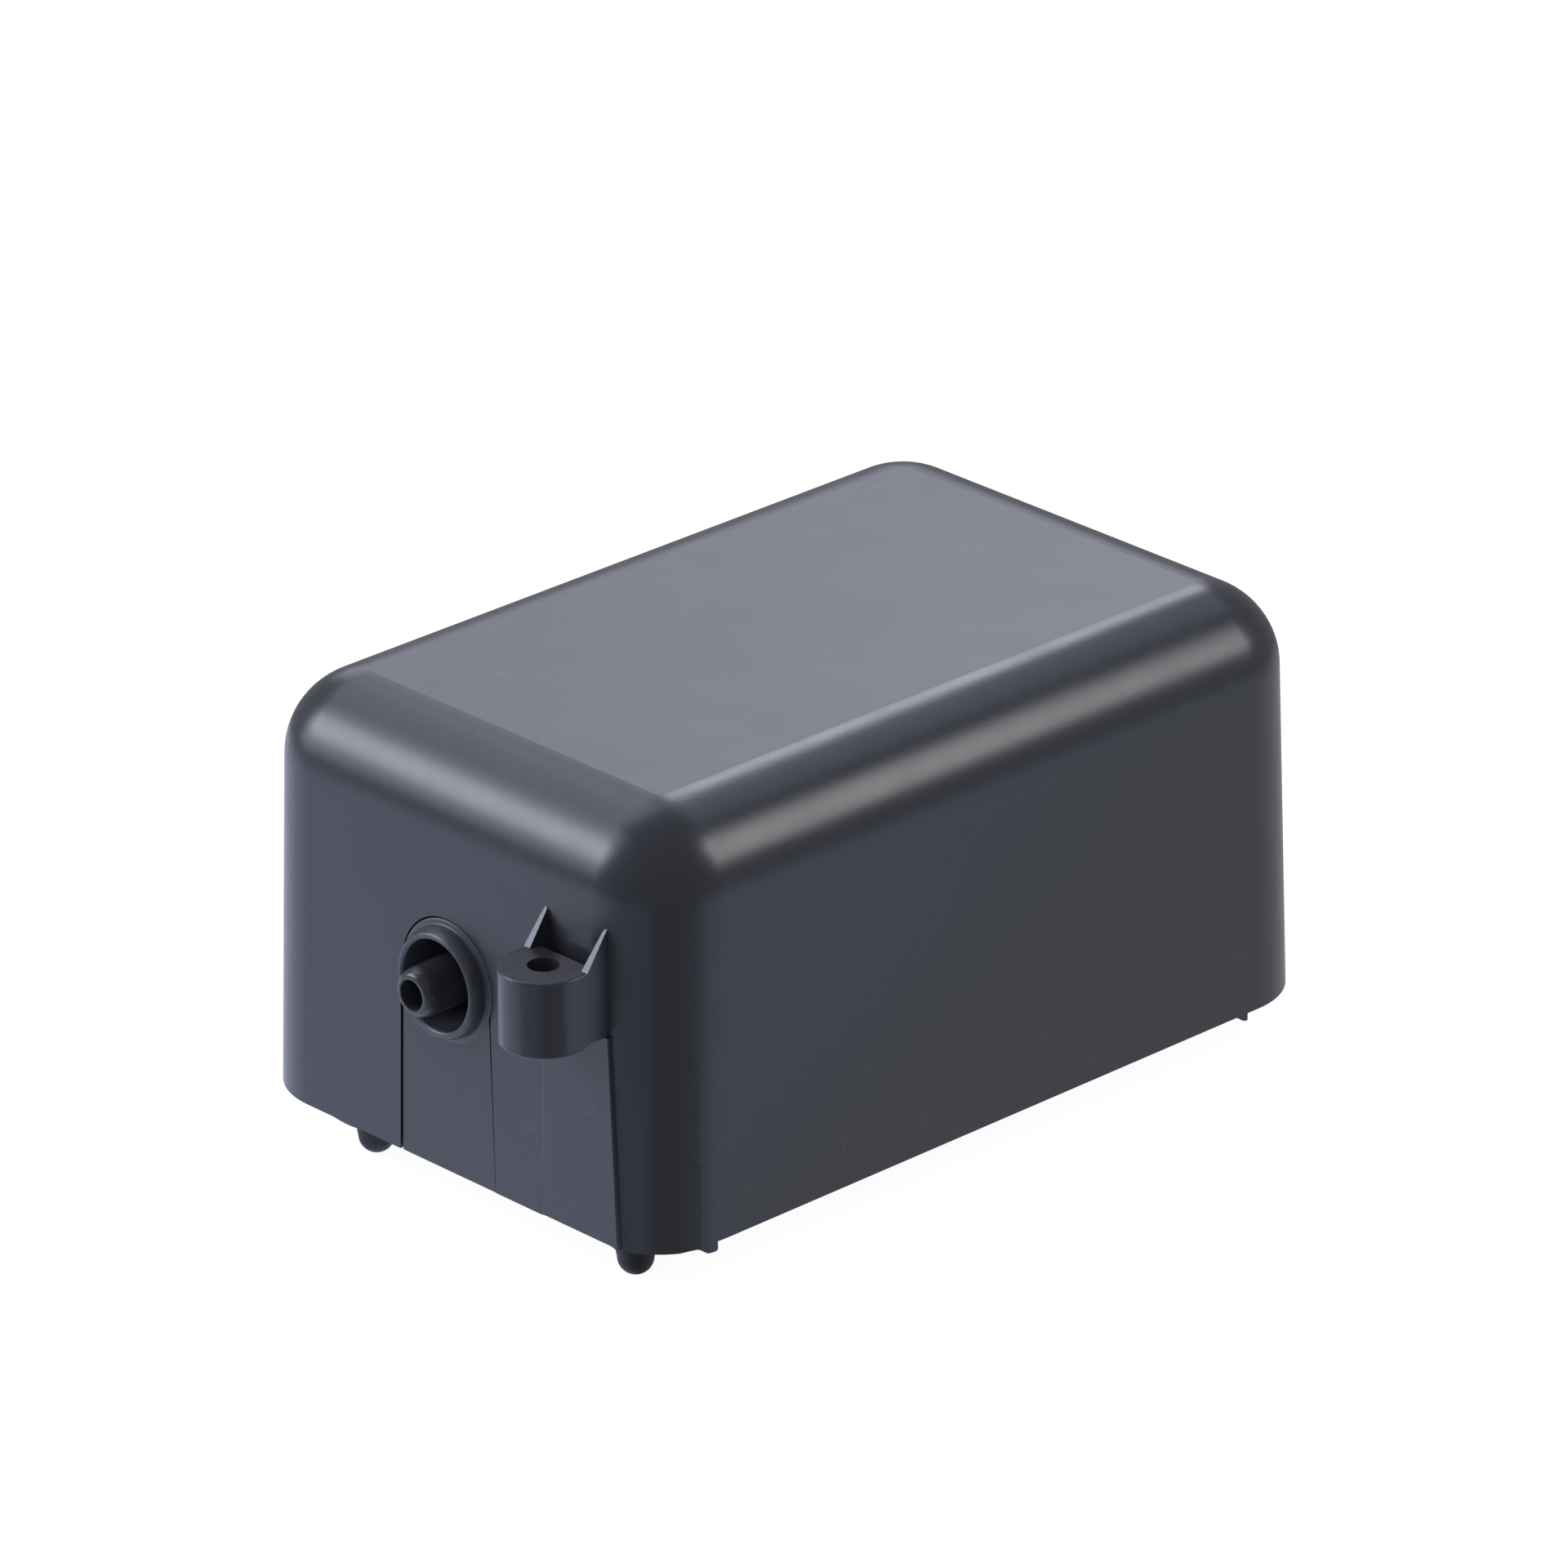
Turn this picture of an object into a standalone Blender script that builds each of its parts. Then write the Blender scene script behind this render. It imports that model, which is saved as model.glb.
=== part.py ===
"""Twin swing-arm diaphragm air pump for ponds and aquariums.

Frame: metres, +Z up, front wall with the outlet nozzle facing -Y, origin on the resting
surface under the middle of the housing. All sizes below are millimetres; the finished
pieces are scaled to metres at the end.
"""
import math

import bmesh
import bpy
from mathutils import Matrix, Vector

MM = 0.001
FIT = 0.3                      # gap between pieces that touch

# Housing
WIDTH = 80.0                   # across the side walls at the rim
LENGTH = 123.2                 # between the end walls at the rim
RIM_Z = 6.0                    # the cover's open edge above the ground
COVER_HEIGHT = 58.6
SIDE_DRAFT = math.tan(math.radians(0.60))
END_DRAFT = math.tan(math.radians(1.62))
CORNER_R = 12.5
CROWN_INSET = 12.0             # how far the top edge rounds inwards
CROWN_DROP = 11.8              # how far it rounds down
WALL = 2.0
CORNER_STEPS = 6
CROWN_STEPS = 6

# Base plate
BASE_BOTTOM = 7.0
BASE_TOP = 9.5
BASE_INSET = WALL + FIT
FOOT_TOP_R = 2.7
FOOT_DOME_R = 2.45
FOOT_SPOTS = {"front_right": (30.2, -56.1), "front_left": (-19.9, -56.1),
              "rear_left": (-30.2, 56.1), "rear_right": (19.9, 56.1)}
HOUSING_POST_R = 3.6
HOUSING_POST_TOP = 61.4        # the posts run up into the rounded edge of the roof
HOUSING_POSTS = {"front_right": (31.2, -34.0), "front_left": (-31.2, -34.0),
                 "rear_left": (-31.2, 40.0), "rear_right": (31.2, 40.0)}
SCREW_R = 1.2
FILTER_X = 15.0                # half width of the raised air filter box
FILTER_Y = (7.0, 21.4)
FILTER_TOP = 13.5

# Mounting lugs, one on each end wall, turned half a turn about the middle
LUG_X = 24.3
LUG_Y = -66.0
LUG_R = 6.0
LUG_HOLE_R = 2.12
LUG_BOTTOM = 34.6
LUG_TOP = 45.2
LUG_WEB = 1.1
LUG_POCKET_Y = LUG_Y + 4.0     # back of the solid boss; an open pocket lies behind it
GUSSET_RISE = 4.8
PAD_PROUD = 0.25

# Outlet in the front wall
OUTLET_Z = 33.0
SLOT_HALF = 8.8                # half width of the slot, and radius of its round end
COLLAR_R = 8.45
COLLAR_BORE_R = 6.4
NOZZLE_TIP_Y = -67.1
NOZZLE_TIP_R = 3.25
NOZZLE_ROOT_R = 3.6
NOZZLE_BORE_R = 2.07
GLAND_Z = 20.0
GLAND_HOLE_R = 4.8
CORD_R = 3.1                   # bore of the gland, for a 6 mm mains cord

# Pump: two diaphragm chambers on one valve body, axes along X
PUMP_Y = -16.0
PUMP_Z = 33.0
VALVE_HALF_X = 9.0
VALVE_HALF = 15.0              # half size of the valve body along Y and Z
PLATE_X = (9.3, 11.8)
DIAPHRAGM_X = 12.1
DIAPHRAGM_R = 13.5
PORT_R = 2.2
INLET_PORT_Z = 26.3
OUTLET_PORT_Z = 39.0
FLAP_HALF_Y = 3.2
FLAP_THICK = 0.6
VALVE_SCREW_Y = (-34.0, 2.0)

# Swing arms on upright pivots, magnets at their rear ends
PIVOT_X = 24.85
PIVOT_Y = -44.0
ARM_X = (23.6, 26.1)
ARM_Z = (26.0, 40.0)
MAGNET_X = (5.0, 18.0)
MAGNET_Y = (17.2, 20.0)
MAGNET_Z = (24.0, 42.0)

# Electromagnet
POLE_Y = 21.5
YOKE_Y = (43.5, 51.5)
CORE_Z = (25.0, 41.0)
CORE_HALF_X = 24.0
CENTRE_LEG = 6.0
WINDOW_X = 18.0
CORE_SCREW = (20.0, 47.5)

COLOURS = {                    # colour, roughness, metallic
    "housing_plastic": ((0.105, 0.110, 0.135), 0.38, 0.0),
    "base_plastic": ((0.090, 0.095, 0.115), 0.45, 0.0),
    "black_rubber": ((0.020, 0.020, 0.022), 0.70, 0.0),
    "grey_rubber": ((0.120, 0.125, 0.130), 0.65, 0.0),
    "white_plastic": ((0.720, 0.720, 0.690), 0.45, 0.0),
    "steel": ((0.560, 0.570, 0.580), 0.32, 1.0),
    "laminated_steel": ((0.230, 0.240, 0.260), 0.45, 1.0),
    "magnet": ((0.085, 0.080, 0.080), 0.55, 0.6),
    "copper": ((0.560, 0.230, 0.080), 0.35, 0.9),
    "felt": ((0.600, 0.600, 0.580), 0.95, 0.0),
}


# ------------------------------------------------------------------ helpers

def clear_scene():
    for obj in list(bpy.data.objects):
        bpy.data.objects.remove(obj, do_unlink=True)


def principled(slot):
    material = bpy.data.materials.new(slot)
    material.use_nodes = True
    colour, roughness, metallic = COLOURS[slot]
    shader = material.node_tree.nodes["Principled BSDF"]
    shader.inputs["Base Color"].default_value = (*colour, 1.0)
    shader.inputs["Roughness"].default_value = roughness
    shader.inputs["Metallic"].default_value = metallic
    material.diffuse_color = (*colour, 1.0)
    return material


def to_object(name, bm, slot="housing_plastic"):
    """Turn a bmesh into an object, with its faces pointing outwards."""
    bmesh.ops.recalc_face_normals(bm, faces=bm.faces)
    mesh = bpy.data.meshes.new(name)
    bm.to_mesh(mesh)
    bm.free()
    obj = bpy.data.objects.new(name, mesh)
    bpy.context.scene.collection.objects.link(obj)
    mesh.materials.append(principled(slot))
    return obj


def box(name, x, y, z, slot="housing_plastic"):
    bm = bmesh.new()
    bmesh.ops.create_cube(bm, size=1.0)
    bmesh.ops.scale(bm, vec=(x[1] - x[0], y[1] - y[0], z[1] - z[0]), verts=bm.verts)
    centre = Vector(((x[0] + x[1]) / 2, (y[0] + y[1]) / 2, (z[0] + z[1]) / 2))
    bmesh.ops.translate(bm, vec=centre, verts=bm.verts)
    return to_object(name, bm, slot)


def prism(name, outline, low, high, slot="housing_plastic", axis="Z"):
    """Extrude a closed outline. Its points are (x, y) for Z, (x, z) for Y and (y, z) for X."""
    place = {"Z": lambda a, b, t: (a, b, t), "Y": lambda a, b, t: (a, t, b),
             "X": lambda a, b, t: (t, a, b)}[axis]
    bm = bmesh.new()
    bottom = bm.faces.new([bm.verts.new(place(a, b, low)) for a, b in outline])
    raised = bmesh.ops.extrude_face_region(bm, geom=[bottom])
    top = [item for item in raised["geom"] if isinstance(item, bmesh.types.BMVert)]
    step = Vector(place(0, 0, high)) - Vector(place(0, 0, low))
    bmesh.ops.translate(bm, vec=step, verts=top)
    return to_object(name, bm, slot)


def turned(name, profile, centre, axis="Z", steps=20, slot="housing_plastic"):
    """Turn a closed profile of (radius, distance along the axis) points about an axis."""
    frame = {"Z": Matrix.Identity(4),
             "X": Matrix(((0, 0, 1, 0), (1, 0, 0, 0), (0, 1, 0, 0), (0, 0, 0, 1))),
             "Y": Matrix(((1, 0, 0, 0), (0, 0, 1, 0), (0, 1, 0, 0), (0, 0, 0, 1)))}[axis]
    bm = bmesh.new()
    rings = []
    for radius, along in profile:
        if radius < 1e-6:
            rings.append([bm.verts.new((0.0, 0.0, along))] * steps)
            continue
        angles = [2 * math.pi * (k + 0.5) / steps for k in range(steps)]
        rings.append([bm.verts.new((radius * math.cos(a), radius * math.sin(a), along))
                      for a in angles])
    for ring, following in zip(rings, rings[1:] + rings[:1]):
        for k in range(steps):
            corners = [ring[k], ring[(k + 1) % steps],
                       following[(k + 1) % steps], following[k]]
            distinct = list(dict.fromkeys(corners))
            if len(distinct) > 2:
                bm.faces.new(distinct)
    bmesh.ops.transform(bm, matrix=Matrix.Translation(centre) @ frame, verts=bm.verts)
    return to_object(name, bm, slot)


def rod(name, radius, start, end, centre, axis="Z", steps=20, slot="housing_plastic"):
    """A plain round bar along an axis; start and end are distances from the centre."""
    profile = [(0.0, start), (radius, start), (radius, end), (0.0, end)]
    return turned(name, profile, centre, axis, steps, slot)


def combine(obj, tool, operation):
    """Join or cut with the exact solver, then keep only the result."""
    modifier = obj.modifiers.new(operation.lower(), "BOOLEAN")
    modifier.operation = operation
    modifier.solver = "EXACT"
    modifier.object = tool
    depsgraph = bpy.context.evaluated_depsgraph_get()
    depsgraph.update()
    result = bpy.data.meshes.new_from_object(obj.evaluated_get(depsgraph))
    obj.modifiers.clear()
    previous, obj.data = obj.data, result
    result.name = obj.name
    result.materials.clear()
    result.materials.append(previous.materials[0])
    bpy.data.meshes.remove(previous)
    bpy.data.objects.remove(tool, do_unlink=True)


def add(obj, *tools):
    for tool in tools:
        combine(obj, tool, "UNION")


def cut(obj, *tools):
    for tool in tools:
        combine(obj, tool, "DIFFERENCE")


def set_origin(obj, point):
    """Put an object's origin on a point without moving its shape."""
    point = Vector(point)
    obj.data.transform(Matrix.Translation(-point))
    obj.location = point


def smooth(obj, angle=35.0):
    obj.data.shade_smooth()
    obj.data.set_sharp_from_angle(angle=math.radians(angle))


def round_rectangle(half_x, half_y, radius, steps=CORNER_STEPS):
    """Points of a rounded rectangle about the middle, anticlockwise."""
    points = []
    for quarter, (sx, sy) in enumerate(((1, 1), (-1, 1), (-1, -1), (1, -1))):
        for k in range(steps + 1):
            angle = math.pi / 2 * (quarter + k / steps)
            points.append((sx * (half_x - radius) + radius * math.cos(angle),
                           sy * (half_y - radius) + radius * math.sin(angle)))
    return points


def end_wall_y(z):
    """Outer face of the front wall at a height, as a positive distance."""
    return LENGTH / 2 - (z - RIM_Z) * END_DRAFT


# ------------------------------------------------------------------ housing

def shell_rings(offset, bottom):
    """Stacked outlines of the housing's surface, moved inwards by a wall thickness."""
    shoulder = RIM_Z + COVER_HEIGHT - CROWN_DROP
    rings = []

    def ring(z, inset, radius):
        lower = min(z, shoulder)
        half_x = WIDTH / 2 - (lower - RIM_Z) * SIDE_DRAFT - offset - inset
        half_y = end_wall_y(lower) - offset - inset
        return [(x, y, z) for x, y in round_rectangle(half_x, half_y, radius)]

    rings.append(ring(bottom, 0.0, CORNER_R - offset))
    rings.append(ring(shoulder, 0.0, CORNER_R - offset))
    inset_full = CROWN_INSET - offset
    drop_full = CROWN_DROP - offset
    for k in range(1, CROWN_STEPS + 1):
        angle = math.pi / 2 * k / CROWN_STEPS
        inset = inset_full * (1 - math.cos(angle))
        radius = max(CORNER_R - offset - inset, 0.5)
        rings.append(ring(shoulder + drop_full * math.sin(angle), inset, radius))
    return rings


def make_cover():
    bm = bmesh.new()

    def skin(rings):
        loops = [[bm.verts.new(point) for point in ring] for ring in rings]
        count = len(loops[0])
        for lower, upper in zip(loops, loops[1:]):
            for k in range(count):
                follow = (k + 1) % count
                bm.faces.new((lower[k], lower[follow], upper[follow], upper[k]))
        bm.faces.new(loops[-1])
        return loops[0]

    outer = skin(shell_rings(0.0, RIM_Z))
    inner = skin(shell_rings(WALL, RIM_Z))
    for k in range(len(outer)):
        follow = (k + 1) % len(outer)
        bm.faces.new((outer[k], outer[follow], inner[follow], inner[k]))
    cover = to_object("cover", bm, "housing_plastic")

    for half_turn in (False, True):
        for piece in lug_pieces():
            if half_turn:
                piece.data.transform(Matrix.Rotation(math.pi, 4, "Z"))
            add(cover, piece)
        hole = rod("lug_hole", LUG_HOLE_R, LUG_BOTTOM - 1, LUG_TOP + 1, (LUG_X, LUG_Y, 0))
        if half_turn:
            hole.data.transform(Matrix.Rotation(math.pi, 4, "Z"))
        cut(cover, hole)

    for x, y in HOUSING_POSTS.values():
        add(cover, rod("post", HOUSING_POST_R, BASE_TOP + FIT, HOUSING_POST_TOP, (x, y, 0), steps=16))
        cut(cover, rod("post_hole", SCREW_R + FIT, BASE_TOP - 1, 24.0, (x, y, 0), steps=12))

    slot = prism("slot", slot_outline(SLOT_HALF, RIM_Z - 2.0), -LENGTH / 2 - 3, -LENGTH / 2 + 6,
                 axis="Y")
    cut(cover, slot)
    cut(cover, rod("gland_hole", GLAND_HOLE_R, LENGTH / 2 - 6, LENGTH / 2 + 3, (0, 0, GLAND_Z), "Y"))
    smooth(cover)
    return cover


def slot_outline(half, bottom):
    """Inverted U in the front wall's plane, as (x, z) points."""
    steps = 12
    arch = [(half * math.cos(math.pi * k / steps), OUTLET_Z + half * math.sin(math.pi * k / steps))
            for k in range(steps + 1)]
    return [(half, bottom)] + arch + [(-half, bottom)]


def lug_pieces():
    """The front lug: boss with two side webs, gussets above and a flat pad below."""
    into_wall = -end_wall_y(LUG_TOP + GUSSET_RISE) + 0.8
    steps = 16
    nose = [(LUG_X + LUG_R * math.cos(math.pi * (1 + k / steps)),
             LUG_Y + LUG_R * math.sin(math.pi * (1 + k / steps))) for k in range(steps + 1)]
    inner = LUG_R - LUG_WEB
    outline = nose + [(LUG_X + LUG_R, into_wall), (LUG_X + inner, into_wall),
                      (LUG_X + inner, LUG_POCKET_Y), (LUG_X - inner, LUG_POCKET_Y),
                      (LUG_X - inner, into_wall), (LUG_X - LUG_R, into_wall)]
    pieces = [prism("lug_boss", outline, LUG_BOTTOM, LUG_TOP)]
    for side in (-1, 1):
        faces = sorted((LUG_X + side * (LUG_R - 0.04), LUG_X + side * (inner + 0.04)))
        profile = [(LUG_Y + 2.3, LUG_TOP - 1.0), (into_wall, LUG_TOP - 1.0),
                   (into_wall, LUG_TOP + GUSSET_RISE), (LUG_Y + 2.3, LUG_TOP - 0.1)]
        pieces.append(prism("gusset", profile, faces[0], faces[1], axis="X"))
    low, high = RIM_Z, LUG_BOTTOM + 0.5
    profile = [(-end_wall_y(low) - PAD_PROUD, low), (-end_wall_y(low) + 1.6, low),
               (-end_wall_y(high) + 1.6, high), (-end_wall_y(high) - PAD_PROUD, high)]
    pieces.append(prism("lug_pad", profile, LUG_X - LUG_R - 0.1, LUG_X + LUG_R + 0.1, axis="X"))
    return pieces


def make_base():
    half_x = WIDTH / 2 - BASE_INSET
    half_y = LENGTH / 2 - BASE_INSET - (BASE_TOP - RIM_Z) * END_DRAFT
    base = prism("base_plate", round_rectangle(half_x, half_y, CORNER_R - BASE_INSET),
                 BASE_BOTTOM, BASE_TOP, "base_plastic")

    # tongue that closes the slot in the cover's front wall, with a bed for the collar
    half = SLOT_HALF - FIT
    low, high = RIM_Z + FIT, OUTLET_Z
    profile = [(-end_wall_y(low), low), (-end_wall_y(low) + WALL, low),
               (-end_wall_y(high) + WALL, high), (-end_wall_y(high), high)]
    tongue = prism("tongue", profile, -half, half, axis="X")
    cut(tongue, rod("collar_bed", SLOT_HALF, -70, -50, (0, 0, OUTLET_Z), "Y", 24))
    add(base, tongue, box("tongue_root", (-half + 0.1, half - 0.1),
                          (-end_wall_y(RIM_Z) + 1.0, -half_y + 2.0), (BASE_BOTTOM, BASE_TOP - 0.2)))

    # posts for the pump and the magnet core, pivot bosses, saddle for the outlet pipe
    for y in VALVE_SCREW_Y:
        add(base, rod("valve_post", 3.5, BASE_TOP - 1, 17.7, (0, y, 0), steps=16))
        cut(base, rod("valve_post_hole", 1.6, 11.0, 20.0, (0, y, 0), steps=12))
    for side in (-1, 1):
        x, y = side * CORE_SCREW[0], CORE_SCREW[1]
        add(base, rod("core_post", 4.2, BASE_TOP - 1, 21.7, (x, y, 0), steps=16))
        cut(base, rod("core_post_hole", 2.0, 11.0, 24.0, (x, y, 0), steps=12))
        add(base, rod("pivot_boss", 4.2, BASE_TOP - 1, 22.0, (side * PIVOT_X, PIVOT_Y, 0), steps=16))
        cut(base, rod("pivot_socket", 2.05, 12.0, 24.0, (side * PIVOT_X, PIVOT_Y, 0), steps=12))
    saddle = box("saddle", (-6.0, 6.0), (-50.6, -48.0), (BASE_TOP - 1, OUTLET_Z))
    cut(saddle, rod("saddle_bed", NOZZLE_ROOT_R + FIT, -52, -46, (0, 0, OUTLET_Z), "Y", 20))
    add(base, saddle)

    # raised box for the air filter, open below, with air holes in its roof
    hat = box("filter_box", (-FILTER_X, FILTER_X), FILTER_Y, (BASE_TOP - 1, FILTER_TOP))
    add(base, hat)
    cut(base, box("filter_well", (-FILTER_X + 1.8, FILTER_X - 1.8),
                  (FILTER_Y[0] + 1.8, FILTER_Y[1] - 1.8), (BASE_BOTTOM - 1, FILTER_TOP - 1.6)))
    middle = (FILTER_Y[0] + FILTER_Y[1]) / 2
    for x in (-8.0, 0.0, 8.0):
        for y in (middle - 2.6, middle + 2.6):
            cut(base, rod("air_hole", 1.3, FILTER_TOP - 3, FILTER_TOP + 1, (x, y, 0), steps=10))

    for x, y in FOOT_SPOTS.values():
        cut(base, rod("foot_hole", 1.9, BASE_BOTTOM - 1, BASE_TOP + 1, (x, y, 0), steps=14))
    for x, y in HOUSING_POSTS.values():
        cut(base, rod("screw_hole", 1.6, BASE_BOTTOM - 1, BASE_TOP + 1, (x, y, 0), steps=12))
    smooth(base)
    return base


def make_feet():
    dome = [(FOOT_DOME_R * math.sin(a), FOOT_DOME_R * (1 - math.cos(a)))
            for a in (math.radians(d) for d in (20, 38, 56, 74, 90))]
    low = dome[0][1]
    dome = [(r, h - low) for r, h in dome]
    profile = ([(0.0, 0.0)] + dome
               + [(FOOT_TOP_R, 5.2), (FOOT_TOP_R, BASE_BOTTOM - FIT), (1.6, BASE_BOTTOM - FIT),
                  (1.6, BASE_TOP + FIT), (2.5, BASE_TOP + FIT), (1.9, BASE_TOP + 2.2),
                  (0.0, BASE_TOP + 2.2)])
    for place, (x, y) in FOOT_SPOTS.items():
        smooth(turned("foot_" + place, profile, (x, y, 0), steps=18, slot="black_rubber"))


def make_filter():
    gap = 1.8 + FIT
    x = (-FILTER_X + gap, FILTER_X - gap)
    y = (FILTER_Y[0] + gap, FILTER_Y[1] - gap)
    box("filter_felt", x, y, (BASE_BOTTOM + 2.2, FILTER_TOP - 1.6 - FIT), "felt")
    cover = box("filter_cover", x, y, (BASE_BOTTOM, BASE_BOTTOM + 1.9), "base_plastic")
    for k in range(7):
        middle = -9.6 + 3.2 * k
        cut(cover, box("vent", (middle - 0.7, middle + 0.7), (y[0] + 1.6, y[1] - 1.6),
                       (BASE_BOTTOM - 1, BASE_BOTTOM + 3)))


def pan_head_screw(name, shank_r, tip, seat, head_r, head_height, centre, axis="Z"):
    """A screw whose tip and head lie on either side of the seat, along the axis."""
    out = 1 if seat > tip else -1
    top = seat + out * head_height
    profile = [(0.0, tip), (shank_r * 0.6, tip), (shank_r, tip + out * shank_r * 0.8),
               (shank_r, seat), (head_r, seat), (head_r, seat + out * head_height * 0.5),
               (head_r * 0.7, top), (0.0, top)]
    obj = turned(name, profile, centre, axis, 14, "steel")
    smooth(obj)
    return obj


def make_housing_screws():
    for place, (x, y) in HOUSING_POSTS.items():
        pan_head_screw("housing_screw_" + place, SCREW_R, 20.0, BASE_BOTTOM - FIT, 2.8, 1.9, (x, y, 0))


# ------------------------------------------------------------------ air outlet

def make_outlet():
    wall_y = end_wall_y(OUTLET_Z)
    face, inside = -wall_y, -wall_y + WALL
    collar = [(COLLAR_BORE_R, inside + 5.6), (COLLAR_BORE_R, face - 1.2),
              (COLLAR_BORE_R + 0.25, face - 1.65), (COLLAR_BORE_R + 0.75, face - 1.7),
              (COLLAR_R - 0.95, face - 1.2), (COLLAR_R - 0.7, face - 0.5), (COLLAR_R, face - 0.4),
              (COLLAR_R, inside + FIT), (COLLAR_R + 1.8, inside + FIT),
              (COLLAR_R + 1.8, inside + 1.8), (COLLAR_R - 0.4, inside + 1.8),
              (COLLAR_R - 0.4, inside + 5.6)]
    centre = (0, 0, OUTLET_Z)
    smooth(turned("outlet_collar", collar, centre, "Y", 32, "grey_rubber"))

    flange = inside + 5.9
    manifold = [(NOZZLE_BORE_R, -42.0), (NOZZLE_BORE_R, NOZZLE_TIP_Y),
                (NOZZLE_TIP_R - 0.45, NOZZLE_TIP_Y), (NOZZLE_TIP_R - 0.1, NOZZLE_TIP_Y + 0.35),
                (NOZZLE_TIP_R, NOZZLE_TIP_Y + 0.9), (NOZZLE_ROOT_R, flange - 0.2), (9.4, flange),
                (9.4, flange + 2.0), (NOZZLE_ROOT_R, flange + 2.0), (NOZZLE_ROOT_R, -43.0),
                (NOZZLE_ROOT_R - 0.4, -42.0)]
    smooth(turned("outlet_manifold", manifold, centre, "Y", 24, "housing_plastic"))

    hose = [(NOZZLE_ROOT_R + FIT, -47.0), (NOZZLE_ROOT_R + FIT + 1.5, -47.0),
            (NOZZLE_ROOT_R + FIT + 1.5, PUMP_Y - VALVE_HALF - FIT),
            (NOZZLE_ROOT_R + FIT, PUMP_Y - VALVE_HALF - FIT)]
    smooth(turned("outlet_hose", hose, centre, "Y", 20, "grey_rubber"))

    wall_y = end_wall_y(GLAND_Z)
    neck, inner, outer = GLAND_HOLE_R - FIT, GLAND_HOLE_R + 1.0, GLAND_HOLE_R + 1.4
    gland = [(CORD_R, wall_y - WALL - 2.0), (inner, wall_y - WALL - 2.0), (inner, wall_y - WALL - 0.4),
             (neck, wall_y - WALL - 0.4), (neck, wall_y + 0.4), (outer, wall_y + 0.4),
             (inner, wall_y + 1.6), (neck, wall_y + 2.2), (CORD_R, wall_y + 2.2)]
    smooth(turned("cable_gland", gland, (0, 0, GLAND_Z), "Y", 22, "black_rubber"))


# ------------------------------------------------------------------ pump unit

def make_valve_body():
    y = (PUMP_Y - VALVE_HALF, PUMP_Y + VALVE_HALF)
    z = (PUMP_Z - VALVE_HALF, PUMP_Z + VALVE_HALF)
    body = box("valve_body", (-VALVE_HALF_X, VALVE_HALF_X), y, z, "white_plastic")
    for screw_y in VALVE_SCREW_Y:
        inner = y[0] + 1.0 if screw_y < PUMP_Y else y[1] - 1.0
        outer = screw_y + math.copysign(3.4, screw_y - PUMP_Y)
        add(body, box("ear", (-4.6, 4.6), sorted((inner, outer)), (z[0], z[0] + 3.0)))
        cut(body, rod("ear_hole", 1.6, z[0] - 1, z[0] + 4, (0, screw_y, 0), steps=12))
    add(body, rod("spigot", NOZZLE_ROOT_R, y[0] - 9.0, y[0] + 1.0, (0, 0, OUTLET_Z), "Y"))
    for low, high in ((z[0] + 3.0, z[0] + 11.5), (z[0] + 13.5, z[1] - 3.0)):
        cut(body, box("plenum", (-VALVE_HALF_X - 1, VALVE_HALF_X + 1), (y[0] + 4, y[1] - 4), (low, high)))
    cut(body, rod("outlet_bore", NOZZLE_BORE_R, y[0] - 10.0, y[0] + 6.0, (0, 0, OUTLET_Z), "Y", 16))
    cut(body, rod("inlet_bore", 3.0, z[0] - 1.0, z[0] + 5.0, (0, PUMP_Y, 0), steps=16))
    smooth(body)
    for label, screw_y in zip(("front", "rear"), VALVE_SCREW_Y):
        pan_head_screw("valve_screw_" + label, SCREW_R, 12.0, z[0] + 3.0 + FIT, 2.6, 1.8, (0, screw_y, 0))


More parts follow.
